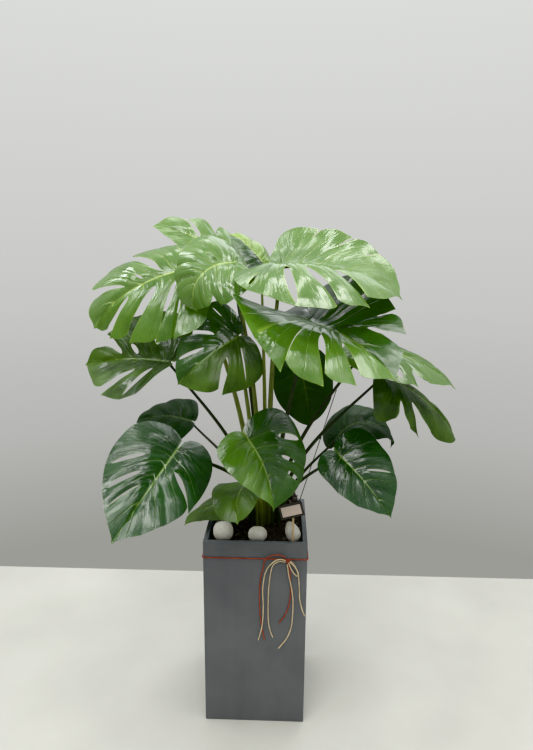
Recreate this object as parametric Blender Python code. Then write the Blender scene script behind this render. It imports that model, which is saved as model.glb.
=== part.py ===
"""Potted monstera in a tall square planter, in metres with +Z up.

The origin is the middle of the planter's base. The front of the planter faces -Y.
The planter holds soil, three pebbles, a small bare sign and the plant, whose leaves
each stand on their own stalk in a plain hole in the soil. A cord with a bow is tied
round the planter below its rim.
"""
import math

import bmesh
import bpy
import numpy as np
from mathutils import Vector

# Planter: a straight square column, open at the top
PLANTER_WIDTH = 0.300
PLANTER_HEIGHT = 0.600
WALL = 0.014
FLOOR = 0.018
PLANTER_EDGE = 0.0025
GAP = 0.0003

# Soil: its level near the rim, and the low mound that the stems stand in
SOIL_LEVEL = 0.580
MOUND_HEIGHT = 0.018
MOUND_CENTRE = (0.025, 0.020)
MOUND_RADIUS = 0.085
HOLE_DEPTH = 0.060
HOLE_SIDES = 8

# Cord tied round the planter in a bow, and the middle of its knot on the front
CORD = 0.0034
TIE_HEIGHT = 0.551
KNOT_X = 0.094
KNOT_Z = 0.547

# Leaves: thickness of the blades, the grid of each lobe, its rounded corners and the rise
# of its middle, and where the side veins start
BLADE = 0.0012
LOBE_ROUND = 0.07
LOBE_SWELL = 0.004
LOBE_COLUMNS = 3
VEIN_START = 0.33
VEIN_END = 0.90
VEIN_SWEEP = 1.7
STALK_SIDES = 5
STALK_STEPS = 6
STALK_RISE = 0.032
RIB_REACH = 0.70
RIB_LEAST = 0.0011
CROWN = (0.022, 0.004)


def clear_scene():
    for item in list(bpy.data.objects):
        bpy.data.objects.remove(item, do_unlink=True)


def material(name, colour, roughness, metallic=0.0):
    made = bpy.data.materials.new(name)
    made.use_nodes = True
    shader = made.node_tree.nodes["Principled BSDF"]
    shader.inputs["Base Color"].default_value = (*colour, 1.0)
    shader.inputs["Roughness"].default_value = roughness
    shader.inputs["Metallic"].default_value = metallic
    return made


def add_mesh(name, points, faces, finish, smooth=False):
    """A new object from points and faces, its normals turned outwards."""
    mesh = bpy.data.meshes.new(name)
    mesh.from_pydata([tuple(map(float, point)) for point in points], [], faces)
    shape = bmesh.new()
    shape.from_mesh(mesh)
    bmesh.ops.recalc_face_normals(shape, faces=shape.faces)
    shape.to_mesh(mesh)
    shape.free()
    if smooth:
        mesh.shade_smooth()
    mesh.materials.append(finish)
    made = bpy.data.objects.new(name, mesh)
    bpy.context.collection.objects.link(made)
    return made


def add_bmesh(name, shape, finish, smooth=False):
    mesh = bpy.data.meshes.new(name)
    bmesh.ops.recalc_face_normals(shape, faces=shape.faces)
    shape.to_mesh(mesh)
    shape.free()
    if smooth:
        mesh.shade_smooth()
        mesh.set_sharp_from_angle(angle=math.radians(40))
    mesh.materials.append(finish)
    made = bpy.data.objects.new(name, mesh)
    bpy.context.collection.objects.link(made)
    return made


def boolean(target, other, operation, solver="EXACT"):
    """Apply a Boolean with an object or a collection, then remove what was used."""
    step = target.modifiers.new("boolean", "BOOLEAN")
    step.operation = operation
    step.solver = solver
    whole = isinstance(other, bpy.types.Collection)
    if whole:
        step.operand_type = "COLLECTION"
        step.collection = other
    else:
        step.object = other
    bpy.context.view_layer.update()
    graph = bpy.context.evaluated_depsgraph_get()
    result = bpy.data.meshes.new_from_object(target.evaluated_get(graph))
    target.modifiers.clear()
    target.data = result
    for item in (list(other.objects) if whole else [other]):
        bpy.data.objects.remove(item, do_unlink=True)
    if whole:
        bpy.data.collections.remove(other)


def tube_shape(path, radii, sides, first_side):
    """Points and faces of a closed tube whose rings lie across a path."""
    path = [Vector(point) for point in path]
    points, faces = [], []
    across = Vector(first_side)
    for index, centre in enumerate(path):
        before = path[max(index - 1, 0)]
        after = path[min(index + 1, len(path) - 1)]
        along = (after - before).normalized()
        across = (across - along * across.dot(along)).normalized()
        up = along.cross(across)
        for side in range(sides):
            turn = 2 * math.pi * side / sides
            offset = across * math.cos(turn) + up * math.sin(turn)
            points.append(centre + offset * radii[index])
    for ring in range(len(path) - 1):
        for side in range(sides):
            here, there = ring * sides, (ring + 1) * sides
            step = (side + 1) % sides
            faces.append((here + side, here + step, there + step, there + side))
    faces.append(tuple(reversed(range(sides))))
    faces.append(tuple(range((len(path) - 1) * sides, len(path) * sides)))
    return points, faces


def smooth_through(points, count):
    """A smooth curve through the points, read at even steps along its length."""
    points = np.asarray(points, float)
    ends = np.vstack([2 * points[0] - points[1], points, 2 * points[-1] - points[-2]])
    dense = []
    for index in range(1, len(ends) - 2):
        a, b, c, d = ends[index - 1:index + 3]
        t = np.linspace(0, 1, 24, endpoint=False)[:, None]
        dense.append(0.5 * (2 * b + (c - a) * t + (2 * a - 5 * b + 4 * c - d) * t ** 2
                            + (3 * b - a - 3 * c + d) * t ** 3))
    dense = np.vstack(dense + [points[-1:]])
    length = np.r_[0, np.cumsum(np.linalg.norm(np.diff(dense, axis=0), axis=1))]
    even = np.linspace(0, length[-1], count)
    return np.stack([np.interp(even, length, dense[:, axis]) for axis in range(dense.shape[1])], -1)


# Planter


def make_planter():
    shape = bmesh.new()
    bmesh.ops.create_cube(shape, size=1)
    for vertex in shape.verts:
        vertex.co = Vector((vertex.co.x * PLANTER_WIDTH, vertex.co.y * PLANTER_WIDTH,
                            (vertex.co.z + 0.5) * PLANTER_HEIGHT))
    shape.faces.ensure_lookup_table()
    top = max(shape.faces, key=lambda face: face.calc_center_median().z)
    bmesh.ops.inset_region(shape, faces=[top], thickness=WALL)
    moved = bmesh.ops.extrude_face_region(shape, geom=[top])
    floor_verts = [item for item in moved["geom"] if isinstance(item, bmesh.types.BMVert)]
    bmesh.ops.delete(shape, geom=[top], context="FACES_ONLY")
    for vertex in floor_verts:
        vertex.co.z = FLOOR
    outer = PLANTER_WIDTH / 2 - 1e-6
    edges = [edge for edge in shape.edges
             if all(max(abs(vertex.co.x), abs(vertex.co.y)) > outer for vertex in edge.verts)]
    bmesh.ops.bevel(shape, geom=edges, offset=PLANTER_EDGE, segments=2, affect="EDGES",
                    clamp_overlap=True, profile=0.5)
    return add_bmesh("planter", shape, material("slate_paint", (0.085, 0.092, 0.098), 0.55))


# Soil


def soil_height(x, y):
    away = math.hypot(x - MOUND_CENTRE[0], y - MOUND_CENTRE[1]) / MOUND_RADIUS
    mound = MOUND_HEIGHT * math.exp(-away ** 2 * 1.6)
    back = 0.006 * max(0.0, min(1.0, (y + 0.02) / 0.10))
    return SOIL_LEVEL + mound + back


SOIL_CELLS = 8


def make_soil():
    half = PLANTER_WIDTH / 2 - WALL - GAP
    points, faces = [], []
    for row in range(SOIL_CELLS + 1):
        for column in range(SOIL_CELLS + 1):
            x = -half + 2 * half * column / SOIL_CELLS
            y = -half + 2 * half * row / SOIL_CELLS
            front = y < -0.055
            points.append((x, y, SOIL_LEVEL if front else soil_height(x, y)))
    count = SOIL_CELLS + 1

    def at(column, row):
        return row * count + column

    for row in range(SOIL_CELLS):
        for column in range(SOIL_CELLS):
            a, b = at(column, row), at(column + 1, row)
            c, d = at(column + 1, row + 1), at(column, row + 1)
            faces += [(a, b, c), (a, c, d)]
    rim = [at(i, 0) for i in range(count)] + [at(SOIL_CELLS, j) for j in range(1, count)]
    rim += [at(i, SOIL_CELLS) for i in range(SOIL_CELLS - 1, -1, -1)]
    rim += [at(0, j) for j in range(SOIL_CELLS - 1, 0, -1)]
    base = len(points)
    corners = [(-half, -half), (half, -half), (half, half), (-half, half)]
    points += [(x, y, FLOOR + GAP) for x, y in corners]
    for side in range(4):
        run = rim[side * SOIL_CELLS:(side + 1) * SOIL_CELLS + 1]
        if side == 3:
            run = run + [rim[0]]
        faces.append(tuple(reversed(run)) + (base + side, base + (side + 1) % 4))
    faces.append((base + 3, base + 2, base + 1, base))
    return add_mesh("soil", points, faces, material("potting_soil", (0.020, 0.015, 0.011), 0.95))


def cut_holes(soil, stems):
    """Plain blind holes that the stems, stalks and sticks stand in."""
    holes = bpy.data.collections.new("holes")
    bpy.context.scene.collection.children.link(holes)
    for x, y, radius, depth in stems:
        shape = bmesh.new()
        wide = (radius + GAP) / math.cos(math.pi / HOLE_SIDES)
        bmesh.ops.create_cone(shape, cap_ends=True, segments=HOLE_SIDES, radius1=wide,
                              radius2=wide, depth=depth + 0.10)
        bmesh.ops.translate(shape, verts=shape.verts, vec=(x, y, SOIL_LEVEL + 0.05 - depth / 2))
        mesh = bpy.data.meshes.new("hole")
        shape.to_mesh(mesh)
        shape.free()
        cutter = bpy.data.objects.new("hole", mesh)
        cutter.hide_render = True
        cutter.display_type = "WIRE"
        holes.objects.link(cutter)
    boolean(soil, holes, "DIFFERENCE")


# Pebbles: name, place of the middle, half sizes, turn about Z, lean about Y
PEBBLES = (
    ("pebble_left", (-0.096, -0.100), (0.0295, 0.027, 0.033), 0.3, 0.0),
    ("pebble_middle", (0.004, -0.102), (0.0280, 0.024, 0.024), 0.1, 0.0),
    ("pebble_right", (0.106, -0.096), (0.0205, 0.019, 0.033), 0.0, -0.35),
)
PEBBLE_FLAT = 0.85


def make_pebble(name, place, half, turn, lean, finish):
    """A smooth pebble with a small flat spot that it rests on."""
    shape = bmesh.new()
    bmesh.ops.create_uvsphere(shape, u_segments=12, v_segments=8, radius=1)
    for vertex in shape.verts:
        x, y, z = vertex.co
        bulge = 1 + 0.05 * math.sin(2.1 * x + 1.3 * y + turn * 5) + 0.03 * math.cos(3 * y - z)
        x, y, z = x * half[0] * bulge, y * half[1] * bulge, z * half[2]
        x, z = x * math.cos(lean) - z * math.sin(lean), x * math.sin(lean) + z * math.cos(lean)
        x, y = x * math.cos(turn) - y * math.sin(turn), x * math.sin(turn) + y * math.cos(turn)
        vertex.co = (x, y, z)
    flat = -PEBBLE_FLAT * half[2]
    cut = bmesh.ops.bisect_plane(shape, geom=shape.verts[:] + shape.edges[:] + shape.faces[:],
                                 plane_co=(0, 0, flat), plane_no=(0, 0, -1), clear_outer=True)
    edges = [item for item in cut["geom_cut"] if isinstance(item, bmesh.types.BMEdge)]
    bmesh.ops.contextual_create(shape, geom=edges)
    bmesh.ops.remove_doubles(shape, verts=shape.verts, dist=0.0001)
    lift = SOIL_LEVEL + GAP - flat
    bmesh.ops.translate(shape, verts=shape.verts, vec=(place[0], place[1], lift))
    return add_bmesh(name, shape, finish, smooth=True)


# Sign: a bare framed plaque on a thin stick that stands in the soil
SIGN_MIDDLE = Vector((0.102, -0.1335, 0.693))
SIGN_WIDTH = 0.069
SIGN_DROP = 0.043
SIGN_FRAME = 0.006
SIGN_THICK = 0.005
SIGN_TILT = math.radians(15)
SIGN_STICK = 0.0055
STICK_OFFSET = 0.006


def sign_point(x, y, z):
    """A point of the upright plaque, tilted in its own plane and placed."""
    return SIGN_MIDDLE + Vector((x * math.cos(SIGN_TILT) - z * math.sin(SIGN_TILT), y,
                                 x * math.sin(SIGN_TILT) + z * math.cos(SIGN_TILT)))


def box_shape(low, high, place=lambda x, y, z: (x, y, z)):
    points = [place(x, y, z) for z in (low[2], high[2]) for y in (low[1], high[1])
              for x in (low[0], high[0])]
    faces = [(0, 2, 3, 1), (4, 5, 7, 6), (0, 1, 5, 4), (2, 6, 7, 3), (0, 4, 6, 2), (1, 3, 7, 5)]
    return points, faces


def make_sign():
    """Frame, card in its recess and stick behind; returns the stick's hole."""
    wide, high, thick = SIGN_WIDTH / 2, SIGN_DROP / 2, SIGN_THICK / 2
    wood = material("dark_wood", (0.018, 0.014, 0.012), 0.5)
    frame = add_mesh("sign_frame", *box_shape((-wide, -thick, -high), (wide, thick, high), sign_point),
                     wood)
    x, z = wide - SIGN_FRAME, high - SIGN_FRAME
    cutter = add_mesh("recess", *box_shape((-x, -2 * thick, -z), (x, 0.0, z), sign_point), wood)
    boolean(frame, cutter, "DIFFERENCE")
    x, z = x - GAP, z - GAP
    add_mesh("sign_card", *box_shape((-x, -0.6 * thick, -z), (x, -GAP, z), sign_point),
             material("bare_card", (0.60, 0.47, 0.40), 0.8))
    half = SIGN_STICK / 2
    x, y = SIGN_MIDDLE.x + STICK_OFFSET, SIGN_MIDDLE.y + thick + GAP + half
    low = (x - half, y - half, SOIL_LEVEL - HOLE_DEPTH + GAP)
    add_mesh("sign_stick", *box_shape(low, (x + half, y + half, SIGN_MIDDLE.z)),
             material("pale_wood", (0.52, 0.38, 0.22), 0.7))
    return x, y, half * math.sqrt(2), HOLE_DEPTH


# Stem stumps that the stalks crowd round: name, place, radius, height above the soil, lean
STUMPS = (
    ("stem_front", (0.008, 0.008), 0.011, 0.105, (-0.10, -0.02)),
    ("stem_back", (0.040, 0.006), 0.0105, 0.120, (0.12, 0.05)),
    ("stem_small", (0.022, 0.026), 0.009, 0.085, (0.02, 0.12)),
)

# Thin support rod behind the plant: points from the bottom of its hole to its top
ROD = 0.0024
ROD_POINTS = ((0.120, 0.045, 0.540), (0.120, 0.045, 0.600), (0.130, 0.047, 0.636),
              (0.184, 0.052, 0.820), (0.221, 0.055, 0.950), (0.236, 0.056, 1.002))


def make_stumps(finish):
    feet = []
    for name, (x, y), radius, height, lean in STUMPS:
        foot = SOIL_LEVEL - HOLE_DEPTH + GAP
        rise = (0.0, HOLE_DEPTH + STALK_RISE, HOLE_DEPTH + 0.5 * height, HOLE_DEPTH + 0.8 * height,
                HOLE_DEPTH + height)
        above = [max(0.0, z - HOLE_DEPTH - STALK_RISE) for z in rise]
        path = [(x + lean[0] * away, y + lean[1] * away, foot + z) for z, away in zip(rise, above)]
        sizes = [radius * part for part in (1.0, 1.0, 0.95, 0.88, 0.55)]
        add_mesh(name, *tube_shape(path, sizes, HOLE_SIDES, (1, 0, 0)), finish, smooth=True)
        feet.append((x, y, radius, HOLE_DEPTH))
    return feet


def make_rod():
    path = [ROD_POINTS[0]] + [tuple(point) for point in smooth_through(ROD_POINTS[1:], 7)]
    sizes = [ROD / 2] * len(path)
    add_mesh("support_rod", *tube_shape(path, sizes, 6, (1, 0, 0)),
             material("rod_paint", (0.02, 0.022, 0.02), 0.45), smooth=True)
    return ROD_POINTS[0][0], ROD_POINTS[0][1], ROD / 2, SOIL_LEVEL - ROD_POINTS[0][2] + GAP


# Cord: the tie goes round the planter, with a knot that the free tails hang from. Each
# tail's points are (x, z) from the knot and how far it stands off the planter's front
KNOT_SIZE = (0.0065, 0.0050, 0.0065)
TIE_SIDES = 6
TAILS = (
    ("tail_left_pale", True, ((-0.0057, 0.0027, 0.0080), (-0.018, 0.008, 0.010), (-0.034, 0.004, 0.010),
                              (-0.051, -0.012, 0.009), (-0.061, -0.030, 0.008), (-0.067, -0.052, 0.007),
                              (-0.071, -0.095, 0.006), (-0.069, -0.150, 0.006), (-0.072, -0.210, 0.007),
                              (-0.083, -0.260, 0.004))),
    ("tail_left_red", False, ((-0.006, 0.012, 0.006), (-0.023, 0.020, 0.007), (-0.043, 0.018, 0.007),
                              (-0.060, 0.009, 0.007), (-0.068, -0.006, 0.006), (-0.069, -0.022, 0.003),
                              (-0.074, -0.040, 0.0022), (-0.079, -0.074, 0.0022), (-0.080, -0.128, 0.0022),
                              (-0.078, -0.177, 0.0022), (-0.073, -0.217, 0.0022), (-0.065, -0.260, 0.0022))),
    ("tail_inner_pale", True, ((-0.007, -0.003, 0.006), (-0.019, 0.000, 0.0065), (-0.033, -0.005, 0.0055),
                               (-0.044, -0.019, 0.004), (-0.050, -0.050, 0.003), (-0.054, -0.094, 0.0022),
                               (-0.055, -0.150, 0.0022), (-0.054, -0.193, 0.0022), (-0.049, -0.226, 0.0022),
                               (-0.040, -0.252, 0.0022))),
    ("tail_long_pale", True, ((-0.001, -0.009, 0.008), (0.004, -0.044, 0.008), (0.012, -0.083, 0.007),
                              (0.017, -0.125, 0.005), (0.017, -0.174, 0.003), (0.013, -0.218, 0.0022),
                              (0.000, -0.255, 0.0022), (-0.023, -0.288, 0.0022))),
    ("tail_short_red", False, ((0.003, -0.009, 0.004), (0.008, -0.047, 0.0025), (0.010, -0.099, 0.0022),
                               (0.006, -0.141, 0.0022), (-0.005, -0.175, 0.0022), (-0.022, -0.202, 0.0022))),
    ("tail_right_pale", True, ((0.008, 0.002, 0.008), (0.018, -0.009, 0.008), (0.027, -0.028, 0.007),
                               (0.032, -0.050, 0.005), (0.035, -0.092, 0.003), (0.037, -0.124, 0.0022),
                               (0.044, -0.155, 0.0022), (0.052, -0.177, 0.0022))),
)
TAIL_STEP = 3.0 * CORD


def make_tie(finish):
    """The band round the planter, its corners round, fused with its knot."""
    off = PLANTER_WIDTH / 2 + GAP + CORD / 2
    turn = PLANTER_EDGE + GAP + CORD / 2
    path = []
    for corner in range(4):
        for part in range(4):
            angle = math.pi / 2 * (corner + part / 3) - math.pi / 2
            x = (off - turn) * (1 if corner in (0, 1) else -1) + turn * math.cos(angle)
            y = (off - turn) * (1 if corner in (1, 2) else -1) + turn * math.sin(angle)
            path.append(Vector((x, y, TIE_HEIGHT)))
    points, faces = [], []
    count = len(path)
    for index, centre in enumerate(path):
        along = (path[(index + 1) % count] - path[index - 1]).normalized()
        out = along.cross(Vector((0, 0, 1)))
        for side in range(TIE_SIDES):
            angle = 2 * math.pi * side / TIE_SIDES
            points.append(centre + out * math.cos(angle) * CORD / 2 + Vector((0, 0, math.sin(angle) * CORD / 2)))
    for ring in range(count):
        for side in range(TIE_SIDES):
            step, after = (side + 1) % TIE_SIDES, (ring + 1) % count
            faces.append((ring * TIE_SIDES + side, ring * TIE_SIDES + step,
                          after * TIE_SIDES + step, after * TIE_SIDES + side))
    tie = add_mesh("tie_cord", points, faces, finish)
    knot = bmesh.new()
    bmesh.ops.create_uvsphere(knot, u_segments=10, v_segments=6, radius=1)
    for vertex in knot.verts:
        vertex.co = Vector((vertex.co.x * KNOT_SIZE[0] + KNOT_X,
                            vertex.co.y * KNOT_SIZE[1] - PLANTER_WIDTH / 2 - GAP - KNOT_SIZE[1],
                            vertex.co.z * KNOT_SIZE[2] + KNOT_Z))
    boolean(tie, add_bmesh("knot", knot, finish), "UNION")
    tie.data.shade_smooth()


def make_tails(red, pale):
    """Free cords as tubes through points read from a smooth curve."""
    for name, light, route in TAILS:
        route = [(KNOT_X + x, -PLANTER_WIDTH / 2 - off, KNOT_Z + z) for x, z, off in route]
        legs = np.linalg.norm(np.diff(np.array(route), axis=0), axis=1)
        points = smooth_through(route, int(legs.sum() / TAIL_STEP) + 1)
        curve = bpy.data.curves.new(name, "CURVE")
        curve.dimensions = "3D"
        curve.bevel_depth = CORD / 2
        curve.bevel_resolution = 2
        curve.render_resolution_u = 0
        curve.use_fill_caps = True
        spline = curve.splines.new("POLY")
        spline.points.add(len(points) - 1)
        for target, point in zip(spline.points, points):
            target.co = (*map(float, point), 1.0)
        curve.materials.append(pale if light else red)
        bpy.context.collection.objects.link(bpy.data.objects.new(name, curve))


# Leaves


# Half a blade's outline: parts of the half width, and of the lobe behind the
# attachment (below zero) or of the length ahead of it (above zero)
HALF_OUTLINE = ((0.03, -0.66), (0.14, -0.90), (0.40, -1.0), (0.74, -0.72), (0.94, -0.15),
                (1.0, 0.18), (0.93, 0.42), (0.72, 0.64), (0.42, 0.83), (0.14, 0.95), (0.0, 1.0))


def half_margin(length, width, back):
    points = [(x * width, y * (back if y < 0 else length)) for x, y in HALF_OUTLINE]
    return smooth_through(points, 161)


class Leaf:
    """Places points of a flat blade, x to its right and y to its tip, in space."""

    def __init__(self, spec):
        self.spec = spec
        heading, pitch, roll = (math.radians(spec[key]) for key in ("heading", "pitch", "roll"))
        along = Vector((math.cos(heading) * math.cos(pitch), math.sin(heading) * math.cos(pitch),
                        math.sin(pitch)))
        level = Vector((math.sin(heading), -math.cos(heading), 0.0))
        top = level.cross(along)
        self.along = along
        self.right = math.cos(roll) * level - math.sin(roll) * top
        self.up = math.sin(roll) * level + math.cos(roll) * top
        droop = math.radians(spec["droop"]) / spec["length"]
        swing = math.radians(spec.get("swing", 0)) / spec["length"]
        self.curve = math.hypot(droop, swing) + 1e-6
        self.bend = (-droop * self.up + swing * self.right) / self.curve
        self.axis = along.cross(self.bend)
        self.at = Vector(spec["at"])

    def frame(self, y):
        """Midrib point, right, up and forward directions at a length from the attachment."""
        turn = self.curve * y
        centre = self.at + self.along * (math.sin(turn) / self.curve)
        centre = centre + self.bend * ((1 - math.cos(turn)) / self.curve)

        def spun(v):
            return (v * math.cos(turn) + self.axis.cross(v) * math.sin(turn)
                    + self.axis * self.axis.dot(v) * (1 - math.cos(turn)))

        right, up, ahead = spun(self.right), spun(self.up), spun(self.along)
        twist = math.radians(self.spec.get("twist", 0)) * y / self.spec["length"]
        twisted = right * math.cos(twist) - up * math.sin(twist)
        return centre, twisted, right * math.sin(twist) + up * math.cos(twist), ahead

    def place(self, x, y, lift=0.0):
        """A blade point: rising from the midrib by the fold, then arching down."""
        centre, right, up, _ = self.frame(y)
        side = -1 if x < 0 else 1
        width, arch = self.spec["width"][side > 0], math.radians(self.spec["arch"][side > 0])
        rate = arch / width + 1e-6
        fold = math.radians(self.spec["fold"])
        across = (math.sin(fold) - math.sin(fold - rate * abs(x))) / rate
        rise = (math.cos(fold - rate * abs(x)) - math.cos(fold)) / rate
        return centre + right * (side * across) + up * (rise + lift)


def slit_width(slit, t):
    """Half width of a slit at a part t of the way from the midrib to the margin."""
    place, inner, outer, half, mouth = slit
    if half == 0 or t <= inner + 1e-9:
        return 0.0
    if outer < 1:
        if t >= outer - 1e-9:
            return 0.0
        x = (t - inner) / (outer - inner)
        return half * math.sqrt(max(0.0, 1 - (2 * x - 1) ** 2))
    x = (t - inner) / (1 - inner)
    if x < 0.35:
        return half * math.sin(math.pi / 2 * x / 0.35) ** 0.7
    ease = (x - 0.35) / 0.65
    return half + (mouth - half) * ease * ease * (3 - 2 * ease)


def row_parts(first, last, x, rows):
    """Parts of the way to the margin for the grid's rows, following the nearest slits."""
    ends = [0.86 if opening[2] == 1.0 else opening[2] for opening in (first, last)]
    marks = (0.0, 1.0, rows - 1.0, float(rows))
    parts = (0.0, first[1] * (1 - x) + last[1] * x, ends[0] * (1 - x) + ends[1] * x, 1.0)
    return [float(np.interp(row, marks, parts)) for row in range(rows + 1)]


def vein(place):
    """A side vein with no opening, which only shapes the blade."""
    return place, 0.45, 0.86, 0.0, 0.0


def hole(place, start, end, half):
    return place, start, end, half, 0.0


def slit(place, start, half, mouth):
    return place, start, 1.0, half, mouth


END = (None, 0.40, 0.86, 0.0, 0.0)


def vein_roots(spec):
    """Where each grid column's vein leaves the midrib, the same for both halves."""
    lobes = len(spec["slits"][0]) + 1
    roots = []
    for column in range(lobes * LOBE_COLUMNS + 1):
        both = []
        for slits in spec["slits"]:
            places = [0.0] + [opening[0] for opening in slits] + [1.0]
            both.append(np.interp(column / LOBE_COLUMNS, range(lobes + 1), places))
        ahead = max(0.0, (sum(both) / 2 - VEIN_START) / (1 - VEIN_START)) ** VEIN_SWEEP
        root = VEIN_END * spec["length"] * ahead
        roots.append(root if root > 0.03 * spec["length"] else 0.0)
    return roots


def blade_grid(leaf, side, table, points):
    """Grid of one half of a blade as indices into points, welded where no slit parts it."""
    spec = leaf.spec
    right = side > 0
    length, rows = spec["length"], spec.get("rows", 3)
    slits = [END] + list(spec["slits"][right]) + [END]
    lobes = len(slits) - 1
    margin = half_margin(length, spec["width"][right], spec["back"])
    places = [0.0] + [opening[0] for opening in slits[1:-1]] + [1.0]
    roots = vein_roots(spec)
    total = lobes * LOBE_COLUMNS

    def flat_point(place, root, t):
        """A flat point on the vein from its root on the midrib to a place on the margin."""
        steps = (len(margin) - 1) * min(max(place, 0.0), 1.0)
        low = min(int(steps), len(margin) - 2)
        end = margin[low] * (low + 1 - steps) + margin[low + 1] * (steps - low)
        bend_y = root + 0.22 * (end[1] - root)
        return Vector((t * (1 - t) * end[0] + t * t * end[0],
                       (1 - t) ** 2 * root + 2 * t * (1 - t) * bend_y + t * t * end[1]))

    grid = []
    for lobe in range(lobes):
        first, last = slits[lobe], slits[lobe + 1]
        block = []
        for column in range(LOBE_COLUMNS + 1):
            index = lobe * LOBE_COLUMNS + column
            x = column / LOBE_COLUMNS
            place = places[lobe] * (1 - x) + places[lobe + 1] * x
            line = []
            for row, t in enumerate(row_parts(first, last, x, rows)):
                gap_first, gap_last = slit_width(first, t), slit_width(last, t)
                if row == 0:
                    key = ("root", roots[index])
                elif index == total:
                    key = ("tip", row)
                elif column == 0 and gap_first == 0:
                    key = (side, lobe, row)
                elif column == LOBE_COLUMNS and gap_last == 0:
                    key = (side, lobe + 1, row)
                else:
                    key = None
                if key in table:
                    line.append(table[key])
                    continue
                open_edge = (first if x < 0.5 else last)[4] > 0
                reach = t * (1 - LOBE_ROUND * abs(1 - 2 * x) ** 3 * (t > 0.9) * open_edge)
                flat = flat_point(place, roots[index], reach)
                if index < total and row > 0:
                    across = flat_point(place + 0.01, roots[min(index + 1, total)], reach) - flat
                    flat += across.normalized() * (gap_first * (1 - x) ** 2 - gap_last * x * x)
                flat.x = 0.0 if index == total else max(flat.x, 0.0)
                swell = LOBE_SWELL * math.sin(math.pi * x) * 4 * t * (1 - t)
                wave = spec.get("wave", 0.0) * t ** 3 * math.sin(4 * math.pi * place + side)
                points.append(leaf.place(side * flat.x, flat.y, swell + wave))
                line.append(len(points) - 1)
                if key is not None:
                    table[key] = line[-1]
            block.append(line)
        grid.append(block)
    return grid


def blade_triangles(grid, side):
    """Triangles of a half blade, wound so that they face up."""
    triangles = []
    for block in grid:
        for column in range(len(block) - 1):
            for row in range(len(block[0]) - 1):
                a, b = block[column][row], block[column + 1][row]
                c, d = block[column + 1][row + 1], block[column][row + 1]
                for corner in ((a, b, d), (b, c, d)):
                    if len(set(corner)) == 3:
                        triangles.append(corner if side < 0 else corner[::-1])
    return triangles


def thicken(points, triangles, thickness):
    """Closed plate: the sheet's triangles on both faces, joined along its edges."""
    points = [Vector(point) for point in points]
    normals = [Vector((0, 0, 0)) for _ in points]
    for a, b, c in triangles:
        face = (points[b] - points[a]).cross(points[c] - points[a])
        for corner in (a, b, c):
            normals[corner] += face
    normals = [normal.normalized() for normal in normals]
    count = len(points)
    solid = [point + normal * thickness / 2 for point, normal in zip(points, normals)]
    solid += [point - normal * thickness / 2 for point, normal in zip(points, normals)]
    faces = list(triangles) + [(c + count, b + count, a + count) for a, b, c in triangles]
    sides = {}
    for a, b, c in triangles:
        for edge in ((a, b), (b, c), (c, a)):
            sides[edge] = True
    for a, b in list(sides):
        if (b, a) not in sides:
            faces += [(b, a, a + count), (b, a + count, b + count)]
    return solid, faces


def stalk_route(spec, leaf, radius):
    """From the bottom of its hole, straight up out of the soil, then arching to the blade."""
    x, y = CROWN[0] + spec["foot"][0], CROWN[1] + spec["foot"][1]
    bottom = Vector((x, y, SOIL_LEVEL - HOLE_DEPTH + GAP))
    start = Vector((x, y, SOIL_LEVEL + STALK_RISE))
    end = leaf.at - leaf.up * radius * 0.9
    span = (end - start).length
    out = (end - start).normalized()
    bow = Vector((*spec.get("bow", (0.0, 0.0)), 0.0))
    upright = Vector((0, 0, 1)).lerp(out, spec.get("spread", 0.3)).normalized()
    level = Vector((out.x, out.y, out.z * 0.75)).normalized()
    first = start + upright * span * 0.40 + bow
    second = end - level * span * 0.30 + bow
    route = [bottom, start]
    for step in range(1, STALK_STEPS + 1):
        t = step / STALK_STEPS
        route.append((1 - t) ** 3 * start + 3 * t * (1 - t) ** 2 * first
                     + 3 * t * t * (1 - t) * second + t ** 3 * end)
    return route


def make_leaf(spec, finish):
    """One leaf: blade, midrib and stalk as one closed body; returns the stalk's hole."""
    leaf = Leaf(spec)
    table, points, triangles = {}, [], []
    for side in (-1, 1):
        triangles += blade_triangles(blade_grid(leaf, side, table, points), side)
    blade = add_mesh(spec["name"], *thicken(points, triangles, BLADE), finish)
    radius = spec["stalk"] / 2
    rib_end = RIB_REACH * spec["length"]
    knots = [0.0] + [root for root in vein_roots(spec) if 0 < root < rib_end][1::2]
    rib, sizes = [], []
    for knot in [-1.5 * radius] + knots:
        centre, _, up, _ = leaf.frame(knot)
        size = max(RIB_LEAST, radius * (1 - 0.8 * knot / rib_end)) if knot >= 0 else 0.6 * radius
        rib.append(centre - up * (size - BLADE / 6 + (0.3 * radius if knot < 0 else 0)))
        sizes.append(size)
    route = stalk_route(spec, leaf, radius)
    radii = [radius * (1.25 - 0.45 * index / (len(route) - 1)) for index in range(len(route))]
    parts = bpy.data.collections.new("parts")
    bpy.context.scene.collection.children.link(parts)
    for shape in (tube_shape(rib, sizes, STALK_SIDES, leaf.right),
                  tube_shape(route, radii, STALK_SIDES, (1, 0, 0))):
        tube = add_mesh("tube", *shape, finish)
        bpy.context.collection.objects.unlink(tube)
        parts.objects.link(tube)
    boolean(blade, parts, "UNION")
    blade.data.shade_smooth()
    blade.data.set_sharp_from_angle(angle=math.radians(50))
    return route[0].x, route[0].y, radii[0], HOLE_DEPTH


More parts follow.
